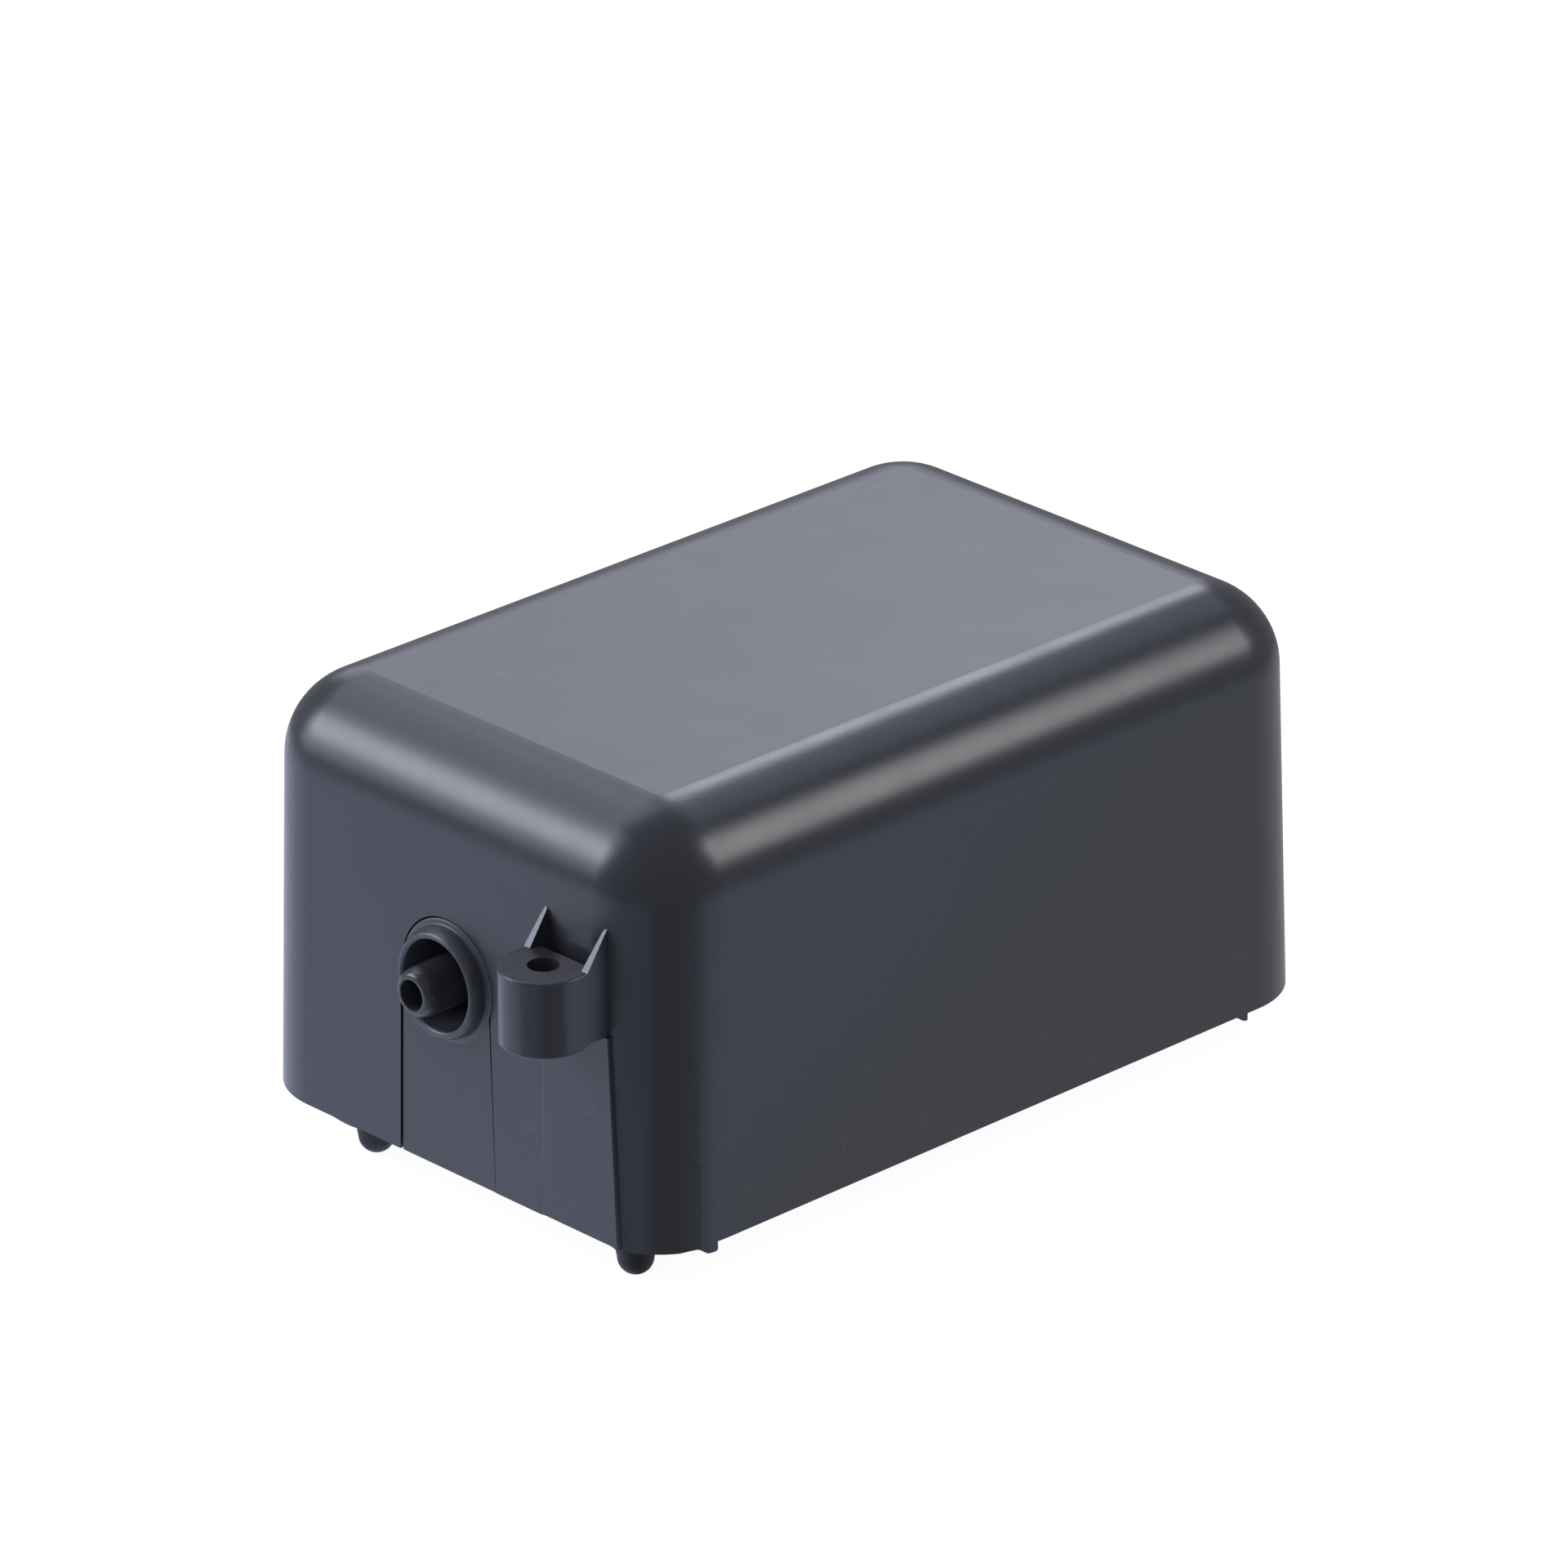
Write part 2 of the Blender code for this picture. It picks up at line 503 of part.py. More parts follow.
def make_chamber(label, side):
    """Valve plate, flaps, diaphragm, its clamp ring, washer and screw on one side."""
    centre = (0, PUMP_Y, PUMP_Z)
    near, far = sorted((side * PLATE_X[0], side * PLATE_X[1]))
    half = VALVE_HALF
    plate = prism(label + "_valve_plate",
                  [(PUMP_Y + y, PUMP_Z + z) for y, z in round_rectangle(half, half, 3.0, 3)],
                  near, far, "white_plastic", "X")
    for port_z in (INLET_PORT_Z, OUTLET_PORT_Z):
        port = rod("port", PORT_R, near - 1, far + 1, (0, PUMP_Y, port_z), "X", 14)
        cut(plate, port)
    smooth(plate)

    def flap(name, inner_face, port_z):
        faces = sorted((side * inner_face, side * (inner_face + FLAP_THICK)))
        top = port_z + PORT_R + 1.2
        leaf = box(name, faces, (PUMP_Y - FLAP_HALF_Y, PUMP_Y + FLAP_HALF_Y), (port_z - PORT_R - 0.6, top),
                   "black_rubber")
        set_origin(leaf, (side * (inner_face + FLAP_THICK / 2), PUMP_Y, top))

    flap(label + "_inlet_flap", PLATE_X[1] + FIT, INLET_PORT_Z)
    flap(label + "_outlet_flap", PLATE_X[0] - FIT - FLAP_THICK, OUTLET_PORT_Z)

    seat = DIAPHRAGM_X
    cup = [(0.0, seat + 5.4), (4.5, seat + 5.4), (5.0, seat + 7.7), (10.3, seat + 1.8), (10.3, seat),
           (DIAPHRAGM_R, seat), (DIAPHRAGM_R, seat + 1.8), (11.5, seat + 1.8), (6.6, seat + 8.9),
           (6.0, seat + 9.9), (1.8, seat + 9.9), (1.8, seat + 6.4), (0.0, seat + 6.4)]
    mirror = [(r, side * x) for r, x in cup]
    smooth(turned(label + "_diaphragm", mirror, centre, "X", 28, "black_rubber"), 25)

    ring = [(DIAPHRAGM_R + FIT, seat), (DIAPHRAGM_R + 1.5, seat), (DIAPHRAGM_R + 1.5, seat + 3.4),
            (12.0, seat + 3.4), (12.0, seat + 2.1), (DIAPHRAGM_R + FIT, seat + 2.1)]
    smooth(turned(label + "_clamp_ring", [(r, side * x) for r, x in ring], centre, "X", 28, "white_plastic"))

    washer = [(1.8, 22.3), (5.0, 22.3), (5.0, 23.3), (1.8, 23.3)]
    smooth(turned(label + "_washer", [(r, side * x) for r, x in washer], centre, "X", 18, "steel"))
    pan_head_screw(label + "_diaphragm_screw", 1.5, side * (seat + 6.7), side * (ARM_X[1] + FIT), 2.8, 1.8,
                   centre, "X")


def make_arm(label, side):
    """Swing arm with its magnet; origin on the upright pivot."""
    def across(low, high):
        return sorted((side * low, side * high))

    pivot = (side * PIVOT_X, PIVOT_Y, 0)
    arm = box(label + "_arm", across(*ARM_X), (PIVOT_Y, MAGNET_Y[0] - FIT), ARM_Z, "white_plastic")
    holder_y = (MAGNET_Y[0] - FIT - 2.4, MAGNET_Y[0] - FIT)
    add(arm, box("magnet_holder", across(MAGNET_X[0], ARM_X[1] - 0.02), holder_y, MAGNET_Z))
    gusset_x = side * (ARM_X[0] + 0.5)
    corner = [(gusset_x, holder_y[0] - 8.0), (gusset_x, holder_y[0] + 0.5),
              (side * (ARM_X[0] - 9.0), holder_y[0] + 0.5)]
    add(arm, prism("arm_gusset", corner, 31.5, 34.5))
    add(arm, rod("eye", 5.0, MAGNET_Z[0], MAGNET_Z[1], pivot, steps=20))
    cut(arm, rod("eye_bore", 3.3, MAGNET_Z[0] - 1, MAGNET_Z[1] + 1, pivot, steps=20))
    cut(arm, rod("screw_hole", 1.8, *across(ARM_X[0] - 1, ARM_X[1] + 1), (0, PUMP_Y, PUMP_Z), "X", 14))
    smooth(arm)
    set_origin(arm, pivot)
    magnet = box(label + "_magnet", across(*MAGNET_X), MAGNET_Y, MAGNET_Z, "magnet")
    set_origin(magnet, pivot)

    bush = [(2.05, 23.0), (3.0, 23.0), (3.0, 43.0), (2.05, 43.0)]
    smooth(turned(label + "_pivot_bush", bush, pivot, "Z", 18, "black_rubber"))
    pin = [(0.0, 12.3), (1.75, 12.3), (1.75, 43.3), (3.0, 43.3), (3.0, 44.6), (0.0, 44.6)]
    smooth(turned(label + "_pivot_pin", pin, pivot, "Z", 16, "steel"))


# ------------------------------------------------------------------ electromagnet

def make_magnet_core():
    half, leg, window = CORE_HALF_X, CENTRE_LEG, WINDOW_X
    front, inner, back = POLE_Y, YOKE_Y[0], YOKE_Y[1]
    outline = [(-half, front), (-window, front), (-window, inner), (-leg, inner), (-leg, front),
               (leg, front), (leg, inner), (window, inner), (window, front), (half, front),
               (half, back), (-half, back)]
    core = prism("magnet_core", outline, *CORE_Z, "laminated_steel")
    for side in (-1, 1):
        spot = (side * CORE_SCREW[0], CORE_SCREW[1], 0)
        cut(core, rod("core_hole", 2.1, CORE_Z[0] - 1, CORE_Z[1] + 1, spot, steps=14))

    bobbin_y = (POLE_Y + 1.0, YOKE_Y[0] - FIT)
    clear_x, clear_z = leg + FIT, (CORE_Z[0] - FIT, CORE_Z[1] + FIT)
    bobbin = box("coil_bobbin", (-clear_x - 1, clear_x + 1), bobbin_y, (clear_z[0] - 1, clear_z[1] + 1),
                 "white_plastic")
    for y in (bobbin_y[0], bobbin_y[1] - 1.2):
        add(bobbin, box("bobbin_flange", (-17.4, 17.4), (y, y + 1.2), (14.2, 51.8)))
    cut(bobbin, box("bobbin_bore", (-clear_x, clear_x), (bobbin_y[0] - 1, bobbin_y[1] + 1), clear_z))

    coil_y = (bobbin_y[0] + 1.2 + FIT, bobbin_y[1] - 1.2 - FIT)
    tube = clear_x + 1 + FIT, clear_z[0] - 1 - FIT, clear_z[1] + 1 + FIT
    middle = sum(CORE_Z) / 2
    outline = [(x, z + middle) for x, z in round_rectangle(16.4, 17.6, 5.0, 4)]
    coil = prism("coil_winding", outline, *coil_y, "copper", "Y")
    cut(coil, box("coil_bore", (-tube[0], tube[0]), (coil_y[0] - 1, coil_y[1] + 1), tube[1:]))
    smooth(coil)

    for label, side in (("left", -1), ("right", 1)):
        spot = (side * CORE_SCREW[0], CORE_SCREW[1], 0)
        damper = [(2.1, 22.0), (4.6, 22.0), (4.6, CORE_Z[0] - FIT), (2.1, CORE_Z[0] - FIT)]
        smooth(turned("core_damper_" + label, damper, spot, "Z", 18, "grey_rubber"))
        pan_head_screw("core_screw_" + label, 1.7, 12.5, CORE_Z[1] + FIT, 3.4, 2.2, spot)


def scale_to_metres():
    for obj in bpy.data.objects:
        obj.data.transform(Matrix.Scale(MM, 4))
        obj.location = obj.location * MM


def build():
    clear_scene()
    make_cover()
    make_base()
    make_feet()
    make_filter()
    make_housing_screws()
    make_outlet()
    make_valve_body()
    for label, side in (("left", -1), ("right", 1)):
        make_chamber(label, side)
        make_arm(label, side)
    make_magnet_core()
    scale_to_metres()


build()
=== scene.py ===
"""Looks of the twin swing-arm air pump: detailed outer shells, materials, light and camera."""
import math

import bmesh
import bpy
from mathutils import Matrix, Vector


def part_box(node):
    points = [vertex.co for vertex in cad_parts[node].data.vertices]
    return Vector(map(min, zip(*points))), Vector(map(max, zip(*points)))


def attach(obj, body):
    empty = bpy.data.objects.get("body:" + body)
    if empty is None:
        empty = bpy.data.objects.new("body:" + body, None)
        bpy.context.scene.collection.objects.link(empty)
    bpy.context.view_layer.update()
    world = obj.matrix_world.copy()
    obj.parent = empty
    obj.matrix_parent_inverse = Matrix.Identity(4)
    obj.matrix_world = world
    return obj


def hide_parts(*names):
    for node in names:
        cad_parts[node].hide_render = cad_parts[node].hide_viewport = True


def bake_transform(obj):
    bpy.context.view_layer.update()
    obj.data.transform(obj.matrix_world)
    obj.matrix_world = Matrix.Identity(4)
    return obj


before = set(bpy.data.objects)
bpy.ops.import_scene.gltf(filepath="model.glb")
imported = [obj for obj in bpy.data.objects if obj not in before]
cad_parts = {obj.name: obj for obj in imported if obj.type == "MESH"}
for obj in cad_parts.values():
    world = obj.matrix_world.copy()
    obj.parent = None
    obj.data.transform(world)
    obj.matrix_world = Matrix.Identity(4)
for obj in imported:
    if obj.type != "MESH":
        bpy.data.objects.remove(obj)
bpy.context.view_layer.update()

MM = 0.001


def node_box(name):
    """Lowest and highest corner of a CAD node, in millimetres."""
    low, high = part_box(name)
    return Vector(low) / MM, Vector(high) / MM


# Housing, from the cover's own box
COVER_LOW, COVER_HIGH = node_box("cover")
RIM_Z = COVER_LOW.z
ROOF_Z = COVER_HIGH.z
HALF_X = COVER_HIGH.x
HALF_Y = 61.6                  # end wall at the rim
SIDE_DRAFT = math.tan(math.radians(0.60))
END_DRAFT = math.tan(math.radians(1.62))
WALL = 2.0
CORNER_R = 12.5
CROWN_INSET = 12.0
CROWN_DROP = 11.8
CROWN_END = math.radians(87.0)  # the arc stops short of level, which leaves a faint line round the roof
SHOULDER_Z = ROOF_Z - CROWN_DROP
CORNER_STEPS = 20
CROWN_STEPS = 20
FAR = 80.0                     # well past every wall, for cutters

# Rim: level, with a lower skirt round the front right corner
SKIRT_DROP = 0.65
TOOTH_DROP = 1.35
SKIRT_START = 31.2             # along X, on the front wall
SKIRT_END = -50.6              # along Y, on the right wall

# Front lug and the pad below it; the rear lug is the same, half a turn round
LUG_R = 6.0
LUG_X = 24.3
LUG_Y = COVER_LOW.y + LUG_R
LUG_BOTTOM, LUG_TOP = 34.6, 45.2
LUG_WEB = 1.15
LUG_HOLE_R = 2.12
GUSSET_TOP = 50.0
PAD_LEFT = LUG_X - LUG_R - 0.08
PAD_RIGHT = (32.5, 30.7)       # at the rim, and under the lug
PAD_RAMP = 0.55                # width of the slope along the pad's left edge
PAD_PROUD = 0.22               # at the top
PAD_RECESS = 0.16              # at the rim

# Outlet, the slot in the front wall and the base plate's tongue that closes it
OUTLET_Z = 33.0
SLOT_R = 8.58
SLOT_SHIFT = 0.12              # the slot's arch sits this far up and to the left of the collar
COLLAR_BED_R = 8.42
TONGUE_LEFT = -8.42
TONGUE_RIGHT = (9.48, 8.15)    # at the rim, and where it meets the collar
GAP_LEFT = 0.56
GAP_RIGHT = (0.36, 0.20)       # at the rim, and where the slot's arch starts
GLAND_HOLE_R = 4.7
GLAND_HOLE_Z = 20.0
SCREW_POST_TOP = 61.4          # the posts run up into the roof's inner face

# Base plate
PLATE_X, PLATE_Y = node_box("base_plate")[1].xy
PLATE_CORNER_R = 10.2
BASE_BOTTOM = 7.0
BASE_TOP = 9.5

# Materials: each plastic varies between a darker and a lighter colour
HOUSING_COLOURS = (0.0285, 0.0303, 0.0380), (0.0300, 0.0318, 0.0395)
OUTLET_COLOURS = (0.0450, 0.0485, 0.0600), (0.0480, 0.0515, 0.0630)
NOZZLE_COLOURS = (0.0270, 0.0285, 0.0335), (0.0285, 0.0300, 0.0350)
BLACK_RUBBER_COLOURS = (0.0100, 0.0100, 0.0110), (0.0150, 0.0150, 0.0160)
GREY_RUBBER_COLOURS = (0.100, 0.105, 0.110), (0.125, 0.130, 0.135)
WHITE_COLOURS = (0.680, 0.680, 0.650), (0.740, 0.740, 0.710)
FERRITE_COLOURS = (0.050, 0.047, 0.046), (0.075, 0.070, 0.068)
STEEL_COLOURS = (0.520, 0.530, 0.540), (0.620, 0.630, 0.640)
SCUFF_LIFT = 0.014             # how much lighter a scuff is than the plastic


# ------------------------------------------------------------------ meshes

def link(obj):
    bpy.context.scene.collection.objects.link(obj)
    return obj


def from_bmesh(name, bm):
    bmesh.ops.recalc_face_normals(bm, faces=bm.faces)
    mesh = bpy.data.meshes.new(name)
    bm.to_mesh(mesh)
    bm.free()
    return link(bpy.data.objects.new(name, mesh))


def between(name, first, second, triangles=False):
    """A closed body between two outlines that have as many points."""
    bm = bmesh.new()
    lower = [bm.verts.new(point) for point in first]
    upper = [bm.verts.new(point) for point in second]
    bm.faces.new(lower)
    bm.faces.new(upper)
    for k in range(len(lower)):
        follow = (k + 1) % len(lower)
        bm.faces.new((lower[k], lower[follow], upper[follow], upper[k]))
    if triangles:
        bmesh.ops.triangulate(bm, faces=bm.faces)
    return from_bmesh(name, bm)


def prism(name, outline, low, high, axis="Z"):
    """Extrude a closed outline. Its points are (x, y) for Z, (x, z) for Y and (y, z) for X."""
    place = {"Z": lambda a, b, t: (a, b, t), "Y": lambda a, b, t: (a, t, b),
             "X": lambda a, b, t: (t, a, b)}[axis]
    return between(name, [place(a, b, low) for a, b in outline], [place(a, b, high) for a, b in outline])


def box(name, x, y, z):
    return prism(name, [(x[0], y[0]), (x[1], y[0]), (x[1], y[1]), (x[0], y[1])], z[0], z[1])


def turned(name, profile, centre=(0, 0, 0), axis="Z", steps=48):
    """Turn a closed profile of (radius, distance along the axis) points about an axis."""
    frame_of = {"Z": Matrix.Identity(4),
                "X": Matrix(((0, 0, 1, 0), (1, 0, 0, 0), (0, 1, 0, 0), (0, 0, 0, 1))),
                "Y": Matrix(((1, 0, 0, 0), (0, 0, 1, 0), (0, 1, 0, 0), (0, 0, 0, 1)))}[axis]
    bm = bmesh.new()
    rings = []
    for radius, along in profile:
        if radius < 1e-6:
            rings.append([bm.verts.new((0.0, 0.0, along))] * steps)
            continue
        angles = [2 * math.pi * k / steps for k in range(steps)]
        rings.append([bm.verts.new((radius * math.cos(a), radius * math.sin(a), along)) for a in angles])
    for ring, following in zip(rings, rings[1:] + rings[:1]):
        for k in range(steps):
            follow = (k + 1) % steps
            distinct = list(dict.fromkeys((ring[k], ring[follow], following[follow], following[k])))
            if len(distinct) > 2:
                bm.faces.new(distinct)
    bmesh.ops.transform(bm, matrix=Matrix.Translation(centre) @ frame_of, verts=bm.verts)
    return from_bmesh(name, bm)


def rod(name, radius, start, end, centre=(0, 0, 0), axis="Z", steps=48):
    return turned(name, [(0.0, start), (radius, start), (radius, end), (0.0, end)], centre, axis, steps)


def arc(centre, radius, start, end, steps):
    """Points on an arc in a plane, angles in degrees."""
    angles = [math.radians(start + (end - start) * k / steps) for k in range(steps + 1)]
    return [(centre[0] + radius * math.cos(a), centre[1] + radius * math.sin(a)) for a in angles]


def ease(start, end, steps=8):
    """Points on a smooth step from one point to another."""
    points = []
    for k in range(steps + 1):
        t = k / steps
        rise = 3 * t * t - 2 * t ** 3
        points.append((start[0] + (end[0] - start[0]) * t, start[1] + (end[1] - start[1]) * rise))
    return points


def middle_of(name):
    """Middle of a CAD node's box."""
    low, high = node_box(name)
    return (low + high) / 2


def nodes_named(*starts):
    return [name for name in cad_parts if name.startswith(starts)]


def combine(obj, tool, operation):
    modifier = obj.modifiers.new("join", "BOOLEAN")
    modifier.operation = operation
    modifier.solver = "EXACT"
    modifier.object = tool
    apply_modifiers(obj)
    bpy.data.objects.remove(tool, do_unlink=True)


def apply_modifiers(obj):
    depsgraph = bpy.context.evaluated_depsgraph_get()
    depsgraph.update()
    result = bpy.data.meshes.new_from_object(obj.evaluated_get(depsgraph))
    obj.modifiers.clear()
    spent, obj.data = obj.data, result
    bpy.data.meshes.remove(spent)
    result.name = obj.name


def add(obj, *tools):
    for tool in tools:
        combine(obj, tool, "UNION")


def cut(obj, *tools):
    for tool in tools:
        combine(obj, tool, "DIFFERENCE")


def half_turn(obj):
    """Turn a piece half a turn about the housing's upright middle line."""
    obj.data.transform(Matrix.Rotation(math.pi, 4, "Z"))
    return obj


def round_edges(obj, width, angle=32.0, segments=2):
    """Break the hard edges, as a mould does."""
    bevel = obj.modifiers.new("edge", "BEVEL")
    bevel.width = width
    bevel.segments = segments
    bevel.limit_method = "ANGLE"
    bevel.angle_limit = math.radians(angle)
    bevel.miter_outer = "MITER_ARC"
    bevel.use_clamp_overlap = True
    apply_modifiers(obj)


def finish_piece(obj, body, material, angle=40.0, crease=None):
    """Smooth, mark the creases, scale to metres, weight the normals, and give body and material.
    """
    obj.data.shade_smooth()
    obj.data.set_sharp_from_angle(angle=math.radians(angle))
    if crease:
        for edge in obj.data.edges:
            if all(crease(obj.data.vertices[k].co) for k in edge.vertices):
                edge.use_edge_sharp = True
    obj.data.transform(Matrix.Scale(MM, 4))
    weighted = obj.modifiers.new("normals", "WEIGHTED_NORMAL")
    weighted.keep_sharp = True
    weighted.weight = 100
    apply_modifiers(obj)
    obj.data.materials.clear()
    obj.data.materials.append(material)
    if body:
        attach(obj, body)
    return obj


# ------------------------------------------------------------------ materials

def principled(name, colour, roughness, metallic=0.0):
    material = bpy.data.materials.new(name)
    material.use_nodes = True
    shader = material.node_tree.nodes["Principled BSDF"]
    shader.inputs["Base Color"].default_value = (*colour, 1.0)
    shader.inputs["Roughness"].default_value = roughness
    shader.inputs["Metallic"].default_value = metallic
    return material, material.node_tree, shader


def noise(tree, scale, detail=2.0, rough=0.5, stretch=None):
    """Noise over the object's own metres, so that grain keeps its real size."""
    coords = tree.nodes.new("ShaderNodeTexCoord")
    source = coords.outputs["Object"]
    if stretch:
        mapping = tree.nodes.new("ShaderNodeMapping")
        mapping.inputs["Scale"].default_value = stretch
        tree.links.new(source, mapping.inputs["Vector"])
        source = mapping.outputs["Vector"]
    texture = tree.nodes.new("ShaderNodeTexNoise")
    texture.inputs["Scale"].default_value = scale
    texture.inputs["Detail"].default_value = detail
    texture.inputs["Roughness"].default_value = rough
    tree.links.new(source, texture.inputs["Vector"])
    return texture.outputs["Fac"]


def spread(tree, value, low, high, from_low=0.35, from_high=0.65):
    """Map a noise value onto a range."""
    node = tree.nodes.new("ShaderNodeMapRange")
    node.inputs["From Min"].default_value = from_low
    node.inputs["From Max"].default_value = from_high
    node.inputs["To Min"].default_value = low
    node.inputs["To Max"].default_value = high
    tree.links.new(value, node.inputs["Value"])
    return node.outputs["Result"]


def product(tree, first, second):
    node = tree.nodes.new("ShaderNodeMath")
    node.operation = "MULTIPLY"
    tree.links.new(first, node.inputs[0])
    tree.links.new(second, node.inputs[1])
    return node.outputs["Value"]


def blend_colours(tree, factor, first, second):
    node = tree.nodes.new("ShaderNodeMix")
    node.data_type = "RGBA"
    if isinstance(first, tuple):
        node.inputs["A"].default_value = (*first, 1.0)
    else:
        tree.links.new(first, node.inputs["A"])
    node.inputs["B"].default_value = (*second, 1.0)
    tree.links.new(factor, node.inputs["Factor"])
    return node.outputs["Result"]


def bump(tree, shader, height, strength, distance):
    node = tree.nodes.new("ShaderNodeBump")
    node.inputs["Strength"].default_value = strength
    node.inputs["Distance"].default_value = distance
    tree.links.new(height, node.inputs["Height"])
    tree.links.new(node.outputs["Normal"], shader.inputs["Normal"])


def moulded(name, colours, roughness, gloss_change=0.04, specular=0.5, grain=0.02, scuffed=False):
    """Moulded plastic: faint flow mottling, uneven gloss and a fine spark-eroded grain."""
    dark, light = colours
    material, tree, shader = principled(name, dark, roughness)
    shader.inputs["Specular IOR Level"].default_value = specular
    mottling = spread(tree, noise(tree, 45.0, 4.0), 0.0, 1.0)
    colour = blend_colours(tree, mottling, dark, light)
    if scuffed:
        scuff_colour = tuple(part + SCUFF_LIFT for part in light)
        colour = blend_colours(tree, scuff_mask(tree), colour, scuff_colour)
    tree.links.new(colour, shader.inputs["Base Color"])
    wear = spread(tree, noise(tree, 120.0, 5.0, 0.6), roughness - gloss_change, roughness + gloss_change)
    tree.links.new(wear, shader.inputs["Roughness"])
    bump(tree, shader, noise(tree, 5200.0, 2.0), grain, 0.00002)
    return material


def scuff_mask(tree):
    """Short light marks, in a few patches only."""
    marks = noise(tree, 420.0, 3.0, 0.7, (0.45, 1.0, 1.0))
    patches = noise(tree, 30.0, 2.0)
    return product(tree, spread(tree, marks, 0.0, 1.0, 0.62, 0.74),
                   spread(tree, patches, 0.0, 1.0, 0.48, 0.60))


def brushed(name, colours, roughness):
    dark, light = colours
    material, tree, shader = principled(name, dark, roughness, 1.0)
    streaks = noise(tree, 900.0, 3.0, 0.6, (1.0, 1.0, 0.1))
    colour = blend_colours(tree, spread(tree, streaks, 0.0, 1.0), dark, light)
    tree.links.new(colour, shader.inputs["Base Color"])
    tree.links.new(spread(tree, streaks, roughness - 0.08, roughness + 0.08), shader.inputs["Roughness"])
    bump(tree, shader, streaks, 0.15, 0.00002)
    return material


def bands(tree, direction, pitch):
    """Fine parallel lines across one axis, a pitch apart."""
    coords = tree.nodes.new("ShaderNodeTexCoord")
    wave = tree.nodes.new("ShaderNodeTexWave")
    wave.wave_type = "BANDS"
    wave.bands_direction = direction
    wave.inputs["Scale"].default_value = math.pi / (10.0 * pitch)
    tree.links.new(coords.outputs["Object"], wave.inputs["Vector"])
    return wave.outputs["Fac"]


def laminated():
    """Stacked steel sheets, seen as lines on the core's sides."""
    material, tree, shader = principled("core_sheets", (0.22, 0.23, 0.25), 0.42, 1.0)
    sheets = bands(tree, "Z", 0.0005)
    colour = blend_colours(tree, sheets, (0.12, 0.12, 0.13), (0.34, 0.35, 0.37))
    tree.links.new(colour, shader.inputs["Base Color"])
    bump(tree, shader, sheets, 0.4, 0.00005)
    return material


def wound():
    """Turns of enamelled copper wire, side by side."""
    material, tree, shader = principled("enamelled_wire", (0.56, 0.23, 0.08), 0.30, 1.0)
    turns = bands(tree, "Y", 0.0004)
    colour = blend_colours(tree, turns, (0.26, 0.09, 0.03), (0.66, 0.29, 0.11))
    tree.links.new(colour, shader.inputs["Base Color"])
    bump(tree, shader, turns, 0.6, 0.0001)
    return material


def felted():
    material, tree, shader = principled("wool_felt", (0.60, 0.60, 0.58), 0.95)
    fibres = noise(tree, 2600.0, 6.0, 0.7)
    colour = blend_colours(tree, spread(tree, fibres, 0.0, 1.0), (0.46, 0.46, 0.44), (0.70, 0.70, 0.68))
    tree.links.new(colour, shader.inputs["Base Color"])
    bump(tree, shader, fibres, 0.8, 0.0002)
    return material


def make_materials():
    rubber = {"roughness": 0.55, "gloss_change": 0.06, "specular": 0.35, "grain": 0.12}
    return {
        "housing": moulded("satin_housing", HOUSING_COLOURS, 0.30, 0.015, scuffed=True),
        "base": moulded("satin_base", HOUSING_COLOURS, 0.32, 0.010),
        "outlet": moulded("satin_outlet", OUTLET_COLOURS, 0.36, 0.010),
        "nozzle": moulded("satin_nozzle", NOZZLE_COLOURS, 0.28, 0.010),
        "black_rubber": moulded("black_rubber", BLACK_RUBBER_COLOURS, **rubber),
        "grey_rubber": moulded("grey_rubber", GREY_RUBBER_COLOURS, **{**rubber, "roughness": 0.60}),
        "white_plastic": moulded("white_plastic", WHITE_COLOURS, 0.45),
        "steel": brushed("zinc_steel", STEEL_COLOURS, 0.30),
        "laminations": laminated(),
        "magnet": moulded("ferrite", FERRITE_COLOURS, 0.55, 0.08, 0.5, 0.3),
        "copper": wound(),
        "felt": felted(),
    }


# ------------------------------------------------------------------ cover

def round_rectangle(half_x, half_y, radius, steps=CORNER_STEPS):
    points = []
    for quarter, (sx, sy) in enumerate(((1, 1), (-1, 1), (-1, -1), (1, -1))):
        for k in range(steps + 1):
            angle = math.pi / 2 * (quarter + k / steps)
            points.append((sx * (half_x - radius) + radius * math.cos(angle),
                           sy * (half_y - radius) + radius * math.sin(angle)))
    return points


def end_wall(z):
    """Distance of an end wall's outer face from the middle, at a height."""
    return HALF_Y - (z - RIM_Z) * END_DRAFT


def side_wall(z):
    return HALF_X - (z - RIM_Z) * SIDE_DRAFT


def skin_rings(offset, bottom):
    """Stacked outlines of the housing, moved inwards by an offset."""
    def ring(z, inset, radius):
        straight = min(z, SHOULDER_Z)
        half_x, half_y = [wall(straight) - offset - inset for wall in (side_wall, end_wall)]
        return [(x, y, z) for x, y in round_rectangle(half_x, half_y, radius)]

    rings = [ring(bottom, 0.0, CORNER_R - offset), ring(SHOULDER_Z, 0.0, CORNER_R - offset)]
    for k in range(1, CROWN_STEPS + 1):
        angle = CROWN_END * k / CROWN_STEPS
        inset = (CROWN_INSET - offset) * (1 - math.cos(angle))
        radius = max(CORNER_R - offset - inset, 0.5)
        rings.append(ring(SHOULDER_Z + (CROWN_DROP - offset) * math.sin(angle), inset, radius))
    return rings


def skin(bm, rings):
    loops = [[bm.verts.new(point) for point in ring] for ring in rings]
    count = len(loops[0])
    for lower, upper in zip(loops, loops[1:]):
        for k in range(count):
            follow = (k + 1) % count
            bm.faces.new((lower[k], lower[follow], upper[follow], upper[k]))
    bm.faces.new(loops[-1])
    return loops[0]


